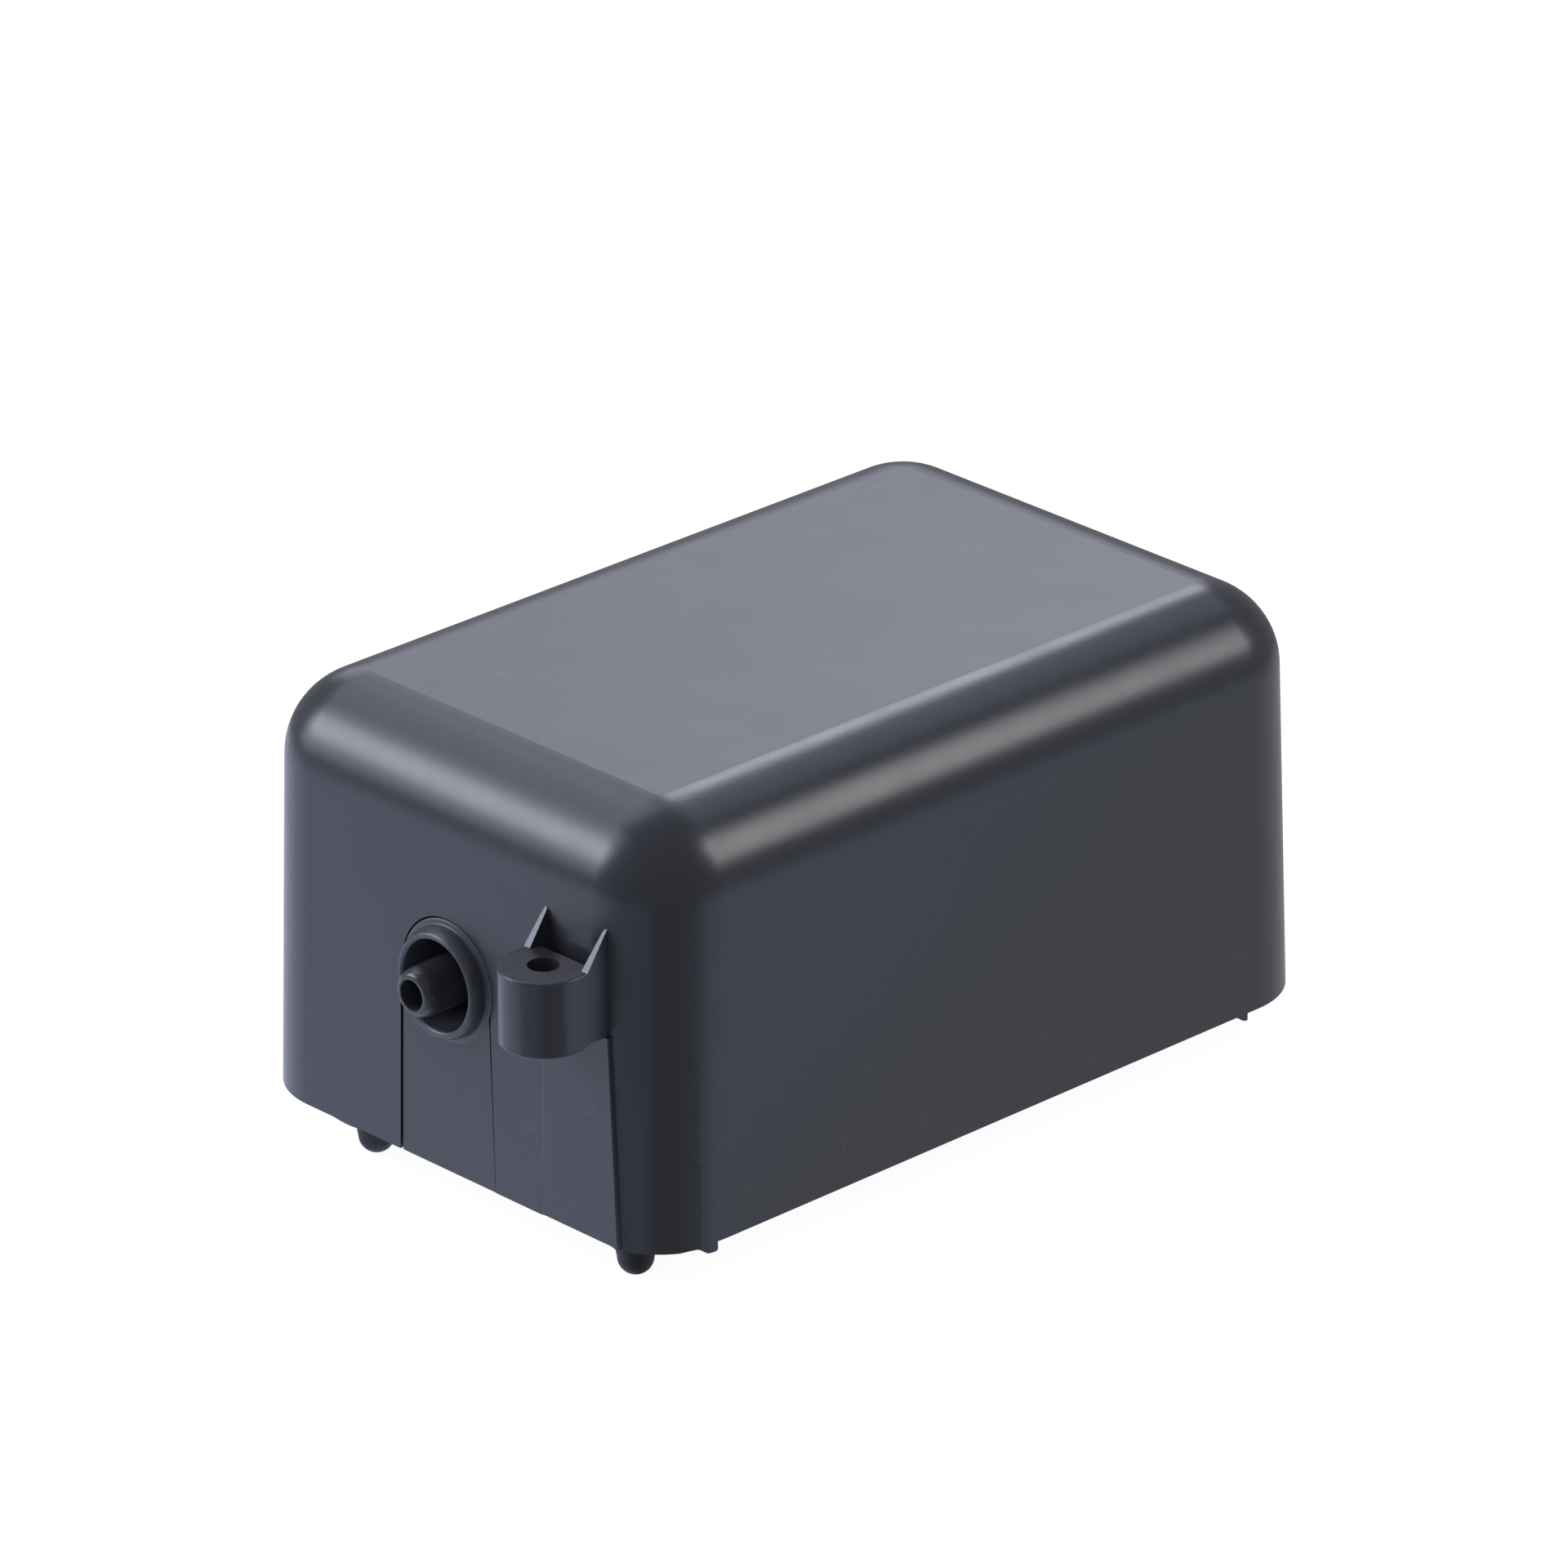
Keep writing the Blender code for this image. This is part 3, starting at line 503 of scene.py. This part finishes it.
def trim_rim(cover):
    """Cut the rim level, but for a lower skirt round the front right corner that ends in a tooth."""
    skirt, tooth, below = RIM_Z - SKIRT_DROP, RIM_Z - TOOTH_DROP, RIM_Z - 5.0
    side = 50.0
    plan = [(-side, FAR), (-side, -FAR), (SKIRT_START, -FAR), (SKIRT_START, SKIRT_END),
            (side, SKIRT_END), (side, FAR)]
    cut(cover, prism("rim_trim", plan, below, RIM_Z))

    # lower edge of the skirt along the right wall, as (y, z) points
    edge = [(-FAR, skirt), (-57.0, skirt)] + ease((-56.0, skirt), (-54.2, skirt + 0.18))
    edge += ease((-53.6, skirt + 0.18), (-51.9, tooth), 10)
    edge += [(SKIRT_END - 0.40, tooth), (SKIRT_END - 0.12, tooth + 0.10), (SKIRT_END, tooth + 0.34)]
    edge += [(SKIRT_END + 0.01, tooth + 0.34), (SKIRT_END + 0.01, below), (-FAR, below)]
    cut(cover, prism("corner_trim", edge, SKIRT_START - 0.01, side, "X"))

    # the slope that leads down to the skirt on the front wall, as (x, z) points
    slope_end = SKIRT_START + 2.4
    slope = [(SKIRT_START - 0.02, RIM_Z - 0.01)]
    slope += ease((SKIRT_START + 0.1, RIM_Z - 0.01), (slope_end, skirt), 12)
    slope += [(slope_end, below), (SKIRT_START - 0.02, below)]
    cut(cover, prism("skirt_start", slope, -FAR, SKIRT_END - 3.0, "Y"))


def rim_details():
    """Small moulded bumps on the rim: one in the front wall, one near the rear end of the right wall."""
    left, width, drop = -22.5, 6.0, 0.22
    shares = [k / 12 for k in range(1, 12)]
    swell = [(left + width * t, RIM_Z - drop * math.sin(math.pi * t)) for t in shares]
    swell = [(left, RIM_Z + 0.2)] + swell + [(left + width, RIM_Z + 0.2)]
    yield prism("rim_swell", swell, -HALF_Y + 0.03, -HALF_Y + 1.6, "Y")

    front, back, tip = 44.6, 46.9, RIM_Z - 1.0
    tooth = [(front, RIM_Z + 0.3)] + ease((front, RIM_Z), (back - 0.4, tip))
    tooth += [(back, tip), (back, RIM_Z + 0.3)]
    yield prism("rim_tooth", tooth, HALF_X - 1.6, HALF_X - 0.02, "X")


def make_cover(kit):
    lowest = RIM_Z - TOOTH_DROP
    bm = bmesh.new()
    outer = skin(bm, skin_rings(0.0, lowest))
    inner = skin(bm, skin_rings(WALL, lowest))
    for k in range(len(outer)):
        follow = (k + 1) % len(outer)
        bm.faces.new((outer[k], outer[follow], inner[follow], inner[k]))
    cover = from_bmesh("cover_shell", bm)

    for turn in (False, True):
        for operation, tool in lug_tools():
            combine(cover, half_turn(tool) if turn else tool, operation)

    trim_rim(cover)
    add(cover, *rim_details())
    cut(cover, prism("slot", slot_outline(), -HALF_Y - 3, -HALF_Y + 6, "Y"))
    cut(cover, rod("gland_hole", GLAND_HOLE_R, HALF_Y - 6, HALF_Y + 3, (0, 0, GLAND_HOLE_Z), "Y"))
    post_r, thread_r, thread_top = 3.6, 1.5, 24.0
    for corner in ("front_right", "front_left", "rear_left", "rear_right"):
        x, y, _ = middle_of("housing_screw_" + corner)
        add(cover, rod("post", post_r, BASE_TOP + 0.3, SCREW_POST_TOP, (x, y, 0), steps=32))
        cut(cover, rod("post_hole", thread_r, BASE_TOP - 1, thread_top, (x, y, 0), steps=24))
    round_edges(cover, 0.16)
    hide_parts("cover")
    return finish_piece(cover, "housing", kit["housing"], crease=on_faint_edge)


def on_faint_edge(point):
    """Whether a point lies on the roof's outline, or on a line where a lug's pad rises out of its wall."""
    if point.z > SHOULDER_Z + CROWN_DROP * math.sin(CROWN_END) - 0.002:
        return True
    x, y = (point.x, point.y) if point.y < 0 else (-point.x, -point.y)
    on_line = min(abs(x - PAD_LEFT), abs(x - PAD_LEFT - PAD_RAMP)) < 0.03
    return y < -55.0 and point.z < LUG_BOTTOM + 1.0 and on_line


def slot_outline():
    """Slot in the front wall, as (x, z) points: upright on the left, drafted on the right."""
    low = RIM_Z - 6.0
    left = TONGUE_LEFT - GAP_LEFT
    right = [(TONGUE_RIGHT[0] + GAP_RIGHT[0], low), (TONGUE_RIGHT[1] + GAP_RIGHT[1], OUTLET_Z - 3.6)]
    arch = arc((-SLOT_SHIFT, OUTLET_Z + SLOT_SHIFT), SLOT_R, 0, 180, 40)
    return right + arch + [(left, OUTLET_Z - 1.0), (left, low)]


def lug_tools():
    """The front lug as a list of (operation, tool)."""
    into_wall = -end_wall(GUSSET_TOP) + 0.8
    inner = LUG_R - LUG_WEB
    pad_top = LUG_BOTTOM + 0.6

    # flat pad: its face stands proud at the top and runs below the wall's face at the rim
    def pad_face(z):
        share = (z - RIM_Z) / (pad_top - RIM_Z)
        return -end_wall(z) - PAD_PROUD * share + PAD_RECESS * (1 - share)

    low, before_wall = RIM_Z - 3.0, -HALF_Y - 3
    front = [(before_wall, low), (pad_face(low), low), (pad_face(pad_top), pad_top), (before_wall, pad_top)]
    yield "DIFFERENCE", prism("pad_clearing", front, PAD_LEFT, 34.0, "X")
    yield "UNION", drafted_pad(pad_face, pad_top)

    # boss on two webs, which leave a pocket between it and the wall
    back = LUG_Y + 3.9
    outline = arc((LUG_X, LUG_Y), LUG_R, 180, 360, 36)
    outline += [(LUG_X + LUG_R, into_wall), (LUG_X + inner, into_wall), (LUG_X + inner, back),
                (LUG_X - inner, back), (LUG_X - inner, into_wall), (LUG_X - LUG_R, into_wall)]
    boss = prism("lug_boss", outline, LUG_BOTTOM, LUG_TOP)
    round_edges(boss, 0.32, 60.0, 3)
    foot_start, foot_rise, foot_low = LUG_Y + 0.6, LUG_BOTTOM + 0.65, LUG_BOTTOM - 1
    foot = [(foot_start, foot_low)] + ease((foot_start, LUG_BOTTOM), (foot_start + 1.9, foot_rise))
    foot += [(into_wall + 1, foot_rise), (into_wall + 1, foot_low)]
    for side in (-1, 1):
        faces = sorted((LUG_X + side * (inner - 0.3), LUG_X + side * (LUG_R + 1)))
        cut(boss, prism("web_foot", foot, faces[0], faces[1], "X"))
    yield "UNION", boss
    for side in (-1, 1):
        yield "UNION", gusset(LUG_X + side * (LUG_R + inner) / 2, LUG_Y + 2.1, into_wall)
    yield "DIFFERENCE", rod("lug_hole", LUG_HOLE_R, LUG_BOTTOM - 1, LUG_TOP + 1, (LUG_X, LUG_Y, 0))


def gusset(x, start, into_wall):
    """A fin from the boss up the wall, thinner towards its top. Its profile is (y, z, half thickness)."""
    thick, thin = LUG_WEB / 2 - 0.01, 0.24
    profile = [(start, LUG_TOP - 1.0, thick), (into_wall, LUG_TOP - 1.0, thick),
               (into_wall, GUSSET_TOP + 0.55, thin), (into_wall - 1.1, GUSSET_TOP - 0.60, thin + 0.04),
               (start, LUG_TOP - 0.02, thick)]
    left, right = [[(x + side * half, y, z) for y, z, half in profile] for side in (-1, 1)]
    return between("gusset", left, right, triangles=True)


def drafted_pad(face, top):
    """The pad's body: upright left edge, right edge leaning outwards towards the rim."""
    depth = 3.2

    def plan(z, right):
        front, back = face(z), face(z) + depth
        return [(PAD_LEFT, -end_wall(z) + 0.01, z), (PAD_LEFT + PAD_RAMP, front, z), (right, front, z),
                (right, back, z), (PAD_LEFT, back, z)]

    return between("lug_pad", plan(RIM_Z - 1.0, PAD_RIGHT[0]), plan(top, PAD_RIGHT[1]))


# ------------------------------------------------------------------ base plate

def make_base(kit):
    base = prism("base_shell", round_rectangle(PLATE_X, PLATE_Y, PLATE_CORNER_R), BASE_BOTTOM, BASE_TOP)
    add_tongue(base)
    add_filter_box(base)
    add_posts(base)
    for name in nodes_named("foot_", "housing_screw_"):
        x, y, _ = middle_of(name)
        radius = 1.9 if name.startswith("foot_") else 1.6
        cut(base, rod("hole", radius, BASE_BOTTOM - 1, BASE_TOP + 1, (x, y, 0), steps=28))
    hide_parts("base_plate")
    return finish_piece(base, "housing", kit["base"])


def add_tongue(base):
    """The tongue that closes the cover's slot, and the rib that closes the gap beside it from within."""
    wall_y = -end_wall(RIM_Z)

    def plan(z, right):
        face = -end_wall(z)
        return [(TONGUE_LEFT, face, z), (right, face, z),
                (right, face + WALL, z), (TONGUE_LEFT, face + WALL, z)]

    tongue = between("tongue", plan(RIM_Z + 0.05, TONGUE_RIGHT[0]), plan(OUTLET_Z, TONGUE_RIGHT[1] - 0.25))
    cut(tongue, rod("collar_bed", COLLAR_BED_R, -70, -50, (0, 0, OUTLET_Z), "Y", 80))
    add(base, tongue)
    add(base, box("tongue_root", (TONGUE_LEFT + 0.1, TONGUE_RIGHT[1] - 0.4), (wall_y + 1.0, -PLATE_Y + 3.0),
                  (BASE_BOTTOM + 0.02, BASE_TOP - 0.2)))

    rib_x, rib_y = (TONGUE_LEFT - 2.2, TONGUE_LEFT + 1.0), wall_y + WALL + 0.4
    rib_top, neck_top = 25.5, 23.0
    add(base, box("gap_rib", rib_x, (rib_y, rib_y + 1.2), (RIM_Z + 0.05, rib_top)))
    add(base, box("rib_foot", rib_x, (rib_y + 0.1, -PLATE_Y + 2.0), (BASE_BOTTOM + 0.03, BASE_TOP - 0.3)))
    add(base, box("rib_neck", (TONGUE_LEFT + 0.1, TONGUE_LEFT + 0.9), (wall_y + 1.0, rib_y + 0.5),
                  (RIM_Z + 0.1, neck_top)))


def add_filter_box(base):
    """Raised box of the air filter, open below, with air holes in its roof."""
    felt_low, felt_high = node_box("filter_felt")
    gap, skin_wall = 0.3, 1.8
    well_x, well_y = felt_high.x + gap, (felt_low.y - gap, felt_high.y + gap)
    add(base, box("filter_box", (-well_x - skin_wall, well_x + skin_wall),
                  (well_y[0] - skin_wall, well_y[1] + skin_wall), (BASE_TOP - 1, felt_high.z + 1.9)))
    cut(base, box("filter_well", (-well_x, well_x), well_y, (BASE_BOTTOM - 1, felt_high.z + 0.3)))
    middle = (well_y[0] + well_y[1]) / 2
    for x in (-8.0, 0.0, 8.0):
        for y in (middle - 2.6, middle + 2.6):
            cut(base, rod("air_hole", 1.3, felt_high.z - 1, felt_high.z + 3, (x, y, 0), steps=24))


def add_posts(base):
    """Posts under the pump and the magnet core, pivot bosses and the outlet pipe's saddle."""
    # the CAD node that stands in each post, and the post's radius, top and bore
    posts = (("valve_screw_front", 3.5, 17.7, 1.6), ("valve_screw_rear", 3.5, 17.7, 1.6),
             ("core_screw_left", 4.2, 21.7, 2.0), ("core_screw_right", 4.2, 21.7, 2.0),
             ("left_pivot_pin", 4.2, 22.0, 2.05), ("right_pivot_pin", 4.2, 22.0, 2.05))
    for name, radius, top, bore in posts:
        x, y, _ = middle_of(name)
        add(base, rod("post", radius, BASE_TOP - 1, top, (x, y, 0), steps=36))
        cut(base, rod("post_hole", bore, 11.0, top + 2, (x, y, 0), steps=28))
    saddle = box("saddle", (-6.0, 6.0), (-50.6, -48.0), (BASE_TOP - 1, OUTLET_Z))
    cut(saddle, rod("saddle_bed", 3.9, -52, -46, (0, 0, OUTLET_Z), "Y"))
    add(base, saddle)


# ------------------------------------------------------------------ outlet, feet, screws, diaphragms

def make_outlet(kit):
    """Collar, nozzle and cable gland. Their profiles are (radius, y) points."""
    face = -end_wall(OUTLET_Z)
    inside = face + WALL
    centre = (0, 0, OUTLET_Z)

    # collar: a round-topped tube standing out of the wall, steeper on its bore side
    crest_r, bore_r, foot_r, tall, root = 6.76, 6.22, 7.62, 2.30, 0.35
    quarter = [math.pi / 2 * k / 10 for k in range(11)]
    lip = [(crest_r - (crest_r - bore_r) * math.cos(a), face - tall + 0.54 * (1 - math.sin(a)))
           for a in quarter]
    lip += [(crest_r + (foot_r - crest_r) * math.sin(a), face - root - (tall - root) * math.cos(a))
            for a in quarter[1:]]
    profile = [(bore_r, inside + 5.6)] + lip
    profile += [(7.66, face - 0.16), (7.78, face - 0.06), (7.95, face - 0.03), (8.46, face - 0.03),
                (8.52, face + 0.05), (8.52, inside + 0.2), (10.2, inside + 0.2), (10.2, inside + 1.8),
                (8.05, inside + 1.8), (8.05, inside + 5.6)]
    ring = turned("collar_ring", profile, centre, "Y", 96)
    for vert in ring.data.vertices:
        vert.co.y += (vert.co.z - OUTLET_Z) * END_DRAFT
    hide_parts("outlet_collar")
    finish_piece(ring, "housing", kit["outlet"], 55)

    # nozzle: round nose, tapered hose seat, flange behind the wall
    tip = node_box("outlet_manifold")[0].y
    flange = inside + 5.9
    profile = [(2.07, -42.0), (2.07, tip + 0.22), (2.14, tip + 0.05), (2.30, tip), (2.62, tip + 0.05),
               (2.93, tip + 0.26), (3.16, tip + 0.62), (3.31, tip + 1.1), (3.42, tip + 1.9),
               (3.60, flange - 0.5), (3.9, flange - 0.12), (4.3, flange), (9.4, flange),
               (9.4, flange + 2.0), (3.6, flange + 2.0), (3.6, -43.0), (3.2, -42.0)]
    nozzle = turned("nozzle_pipe", profile, centre, "Y", 64)
    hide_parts("outlet_manifold")
    finish_piece(nozzle, "housing", kit["nozzle"], 50)

    # cable gland: a grommet that grips the rear wall from both sides
    height = middle_of("cable_gland").z
    wall_y = end_wall(height)
    profile = [(3.1, wall_y - 4.0), (5.8, wall_y - 4.0), (5.8, wall_y - 2.4), (4.5, wall_y - 2.4),
               (4.5, wall_y + 0.3), (6.05, wall_y + 0.3), (6.2, wall_y + 0.5), (6.1, wall_y + 0.9),
               (5.7, wall_y + 1.4), (4.9, wall_y + 1.9), (4.0, wall_y + 2.2), (3.4, wall_y + 2.2),
               (3.1, wall_y + 1.9)]
    gland = turned("gland_ring", profile, (0, 0, height), "Y", 64)
    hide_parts("cable_gland")
    finish_piece(gland, "housing", kit["black_rubber"], 50)


def make_feet(kit):
    """Rubber feet: a dome, a body that widens upwards, and a stem with a barb above the base plate."""
    dome_r = 2.46
    angles = [math.radians(degrees) for degrees in range(12, 91, 6)]
    dome = [(dome_r * math.sin(a), dome_r * (1 - math.cos(a))) for a in angles]
    flat = dome[0][1]
    body = [(2.58, 3.1), (2.74, 4.3), (2.87, 5.4), (2.96, 6.7)]
    stem = [(1.6, 6.7), (1.6, 9.8), (2.5, 9.8), (1.9, 11.7), (0.0, 11.7)]
    profile = [(0.0, 0.0)] + [(r, z - flat) for r, z in dome] + body + stem
    for name in nodes_named("foot_"):
        x, y, _ = middle_of(name)
        foot = turned(name + "_dome", profile, (x, y, 0), "Z", 48)
        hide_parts(name)
        finish_piece(foot, "housing", kit["black_rubber"], 50)


def make_screws(kit):
    """Housing screws with a cross recess, seen from below."""
    head_r, shank_r, seat = 2.75, 1.2, BASE_BOTTOM - 0.3
    angles = [math.radians(degrees) for degrees in (15, 30, 45, 60, 75)]
    for name in nodes_named("housing_screw_"):
        x, y, _ = middle_of(name)
        low = node_box(name)[0].z
        crown = [(head_r * math.sin(a) * 0.98, low + 0.9 * (1 - math.cos(a))) for a in angles]
        profile = [(0.0, low)] + crown
        profile += [(head_r, low + 1.1), (head_r, seat - 0.15), (head_r - 0.15, seat), (shank_r, seat),
                    (shank_r, 18.8), (0.4, 20.0), (0.0, 20.0)]
        screw = turned(name + "_pan", profile, (x, y, 0), "Z", 40)
        for degrees in (25, 115):
            blade = box("blade", (-1.45, 1.45), (-0.24, 0.24), (low - 1, low + 0.95))
            turn = Matrix.Rotation(math.radians(degrees), 4, "Z")
            blade.data.transform(Matrix.Translation((x, y, 0)) @ turn)
            cut(screw, blade)
        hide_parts(name)
        finish_piece(screw, "housing", kit["steel"], 40)


def make_diaphragms(kit):
    """Rubber cups in place of the CAD diaphragms, each with a rim and a crown."""
    for side, label in ((-1, "left"), (1, "right")):
        low, high = node_box(label + "_diaphragm")
        centre = (0, (low.y + high.y) / 2, (low.z + high.z) / 2)
        seat, top = sorted((abs(low.x), abs(high.x)))
        rim_r, rim_top, shoulder = (high.y - low.y) / 2, seat + 1.8, top - 1.0
        inner = [(0.0, seat + 5.4), (4.5, seat + 5.4)] + ease((5.0, shoulder - 1.2), (10.3, rim_top), 14)
        rim = [(10.3, seat), (rim_r - 0.2, seat), (rim_r, seat + 0.2), (rim_r, rim_top - 0.2),
               (rim_r - 0.2, rim_top)]
        outer = ease((11.5, rim_top), (6.6, shoulder), 16)
        crown = arc((5.8, top - 0.6), 0.6, 15, 90, 5)
        crown += [(1.95, top), (1.8, top - 0.15), (1.8, seat + 6.4), (0.0, seat + 6.4)]
        profile = [(r, side * x) for r, x in inner + rim + outer + crown]
        cup = turned(label + "_diaphragm_cup", profile, centre, "X", 64)
        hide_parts(label + "_diaphragm")
        finish_piece(cup, None, kit["black_rubber"], 45)
        start, end = [Vector((side * x, centre[1], centre[2])) * MM
                      for x in (rim_top + 0.3, shoulder - 0.6)]
        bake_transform(cup)
        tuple(start)
        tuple(end)


def dress_inner_nodes(kit):
    """Better materials on the CAD pieces that stay."""
    by_name = {"filter_cover": "base", "filter_felt": "felt", "valve_body": "white_plastic",
               "magnet_core": "laminations", "coil_bobbin": "white_plastic", "coil_winding": "copper",
               "outlet_hose": "grey_rubber", "core_damper_left": "grey_rubber",
               "core_damper_right": "grey_rubber"}
    by_ending = {"flap": "black_rubber", "bush": "black_rubber", "arm": "white_plastic",
                 "plate": "white_plastic", "ring": "white_plastic", "magnet": "magnet"}
    for name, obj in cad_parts.items():
        key = by_name.get(name) or by_ending.get(name.split("_")[-1], "steel")
        obj.data.materials.clear()
        obj.data.materials.append(kit[key])


# ------------------------------------------------------------------ stage

def softbox(name, turn, height, distance, size, radiance, colour):
    """A rectangular area light aimed at the object and set by its radiance.

    turn is degrees from +Y towards -X, height is degrees above the floor, size is (width, height).
    """
    width, tall = size
    light = bpy.data.lights.new(name, "AREA")
    light.shape = "RECTANGLE"
    light.size = width
    light.size_y = tall
    light.energy = radiance * math.pi * width * tall
    light.color = colour
    obj = link(bpy.data.objects.new(name, light))
    a, e = math.radians(turn), math.radians(height)
    aim = Vector((-math.sin(a) * math.cos(e), math.cos(a) * math.cos(e), math.sin(e)))
    obj.location = Vector((0, 0, 0.035)) + aim * distance
    obj.rotation_mode = "QUATERNION"
    obj.rotation_quaternion = aim.to_track_quat("Z", "Y")
    return obj


def emissive(name, colour, strength):
    material, _, shader = principled(name, (0.0, 0.0, 0.0), 1.0)
    shader.inputs["Specular IOR Level"].default_value = 0.0
    shader.inputs["Emission Color"].default_value = (*colour, 1.0)
    shader.inputs["Emission Strength"].default_value = strength
    return material


def make_floor():
    """Pale floor. Its glow keeps the shadows faint, and the object mirrors the table cards instead."""
    material = emissive("pale_floor", (1.0, 1.0, 1.0), 0.95)
    material.node_tree.nodes["Principled BSDF"].inputs["Base Color"].default_value = (0.14, 0.14, 0.14, 1.0)
    bm = bmesh.new()
    bmesh.ops.create_circle(bm, cap_ends=True, segments=64, radius=90.0)
    floor = from_bmesh("floor", bm)
    floor.location.z = -0.0002
    floor.data.materials.append(material)
    floor.visible_glossy = False
    floor.visible_diffuse = False
    floor.visible_shadow = False


def table_card(name, outline, colour, strength):
    """A glowing card under the floor, seen only as a reflection in the walls."""
    bm = bmesh.new()
    bm.faces.new([bm.verts.new((x, y, -0.02)) for x, y in outline])
    card = from_bmesh(name, bm)
    card.data.materials.append(emissive(name, colour, strength))
    card.visible_camera = False
    card.visible_shadow = False


def make_table_cards():
    """The table as four fields, split at the lines where the walls' reflections change."""
    table_card("left_table", [(0.030, -0.060), (-0.06, -0.40), (-0.36, -0.34), (-0.44, -0.05),
                              (-0.25, 0.06), (-0.05, 0.05)], (0.90, 0.98, 1.25), 1.04)
    table_card("near_table", [(0.030, -0.060), (-0.06, -0.40), (0.26, -0.38)], (0.88, 0.98, 1.26), 0.54)
    table_card("right_table", [(0.042, -0.050), (0.085, -0.02), (0.16, 0.10), (0.34, 0.36), (0.44, 0.10),
                               (0.42, -0.02)], (0.84, 0.94, 1.26), 0.86)
    table_card("near_right_table", [(0.042, -0.050), (-0.05, 0.05), (-0.09, 0.16), (0.02, 0.44),
                                    (0.34, 0.36), (0.16, 0.10), (0.085, -0.02)], (0.97, 1.00, 1.05), 0.60)


def make_lights():
    pale_blue = (0.94, 0.96, 1.12)
    softbox("front_left_softbox", 132, 26.0, 1.3, (0.60, 0.44), 5.9, pale_blue)
    softbox("front_left_halo", 130, 27.5, 1.4, (0.80, 1.28), 2.4, pale_blue)
    softbox("rear_right_softbox", -48, 32, 1.3, (0.46, 0.64), 6.1, (1.0, 0.985, 1.0))
    softbox("rear_left_backdrop", 53, 24.0, 1.5, (0.86, 0.58), 1.50, (0.96, 0.985, 1.17))
    softbox("rear_left_strip", 38, 36.5, 1.5, (0.30, 0.11), 15.5, (1.0, 1.0, 1.06))
    fill = softbox("camera_side_fill", 226, 32, 1.7, (1.2, 1.2), 0.6, (0.98, 0.98, 1.04))
    fill.visible_glossy = False
    softbox("upper_left_fill", 82, 54, 1.6, (1.0, 0.9), 1.6, (0.94, 0.98, 1.18))
    softbox("upper_rear_fill", 15, 52, 1.6, (1.0, 0.5), 0.95, (0.82, 0.94, 1.28))


def make_world():
    world = bpy.data.worlds.new("studio")
    bpy.context.scene.world = world
    world.use_nodes = True
    background = world.node_tree.nodes["Background"]
    background.inputs["Color"].default_value = (0.94, 0.96, 1.04, 1.0)
    background.inputs["Strength"].default_value = 0.28
    bpy.context.scene.view_settings.view_transform = "Standard"


def make_camera():
    """A long lens, aimed at the housing's middle and rolled very slightly."""
    turn, height, roll = [math.radians(degrees) for degrees in (46.509, 24.571, -0.425)]
    target, distance = Vector((0.0, 0.0, 0.035285)), 1.55867
    camera = bpy.data.cameras.new("camera")
    camera.lens = 269.8
    camera.sensor_width = 36.0
    camera.shift_x = -0.0018
    camera.shift_y = 0.0280
    camera.clip_start = 0.05
    camera.clip_end = 100.0
    obj = link(bpy.data.objects.new("camera", camera))
    back = Vector((math.sin(turn) * math.cos(height), -math.cos(turn) * math.cos(height), math.sin(height)))
    right = Vector((math.cos(turn), math.sin(turn), 0.0))
    up = back.cross(right)
    right, up = right * math.cos(roll) + up * math.sin(roll), up * math.cos(roll) - right * math.sin(roll)
    rotation = Matrix((right, up, back)).transposed().to_4x4()
    obj.matrix_world = Matrix.Translation(target + back * distance) @ rotation
    bpy.context.scene.camera = obj


def build():
    kit = make_materials()
    dress_inner_nodes(kit)
    make_cover(kit)
    make_base(kit)
    make_outlet(kit)
    make_feet(kit)
    make_screws(kit)
    make_diaphragms(kit)
    make_floor()
    make_table_cards()
    make_lights()
    make_world()
    make_camera()


build()
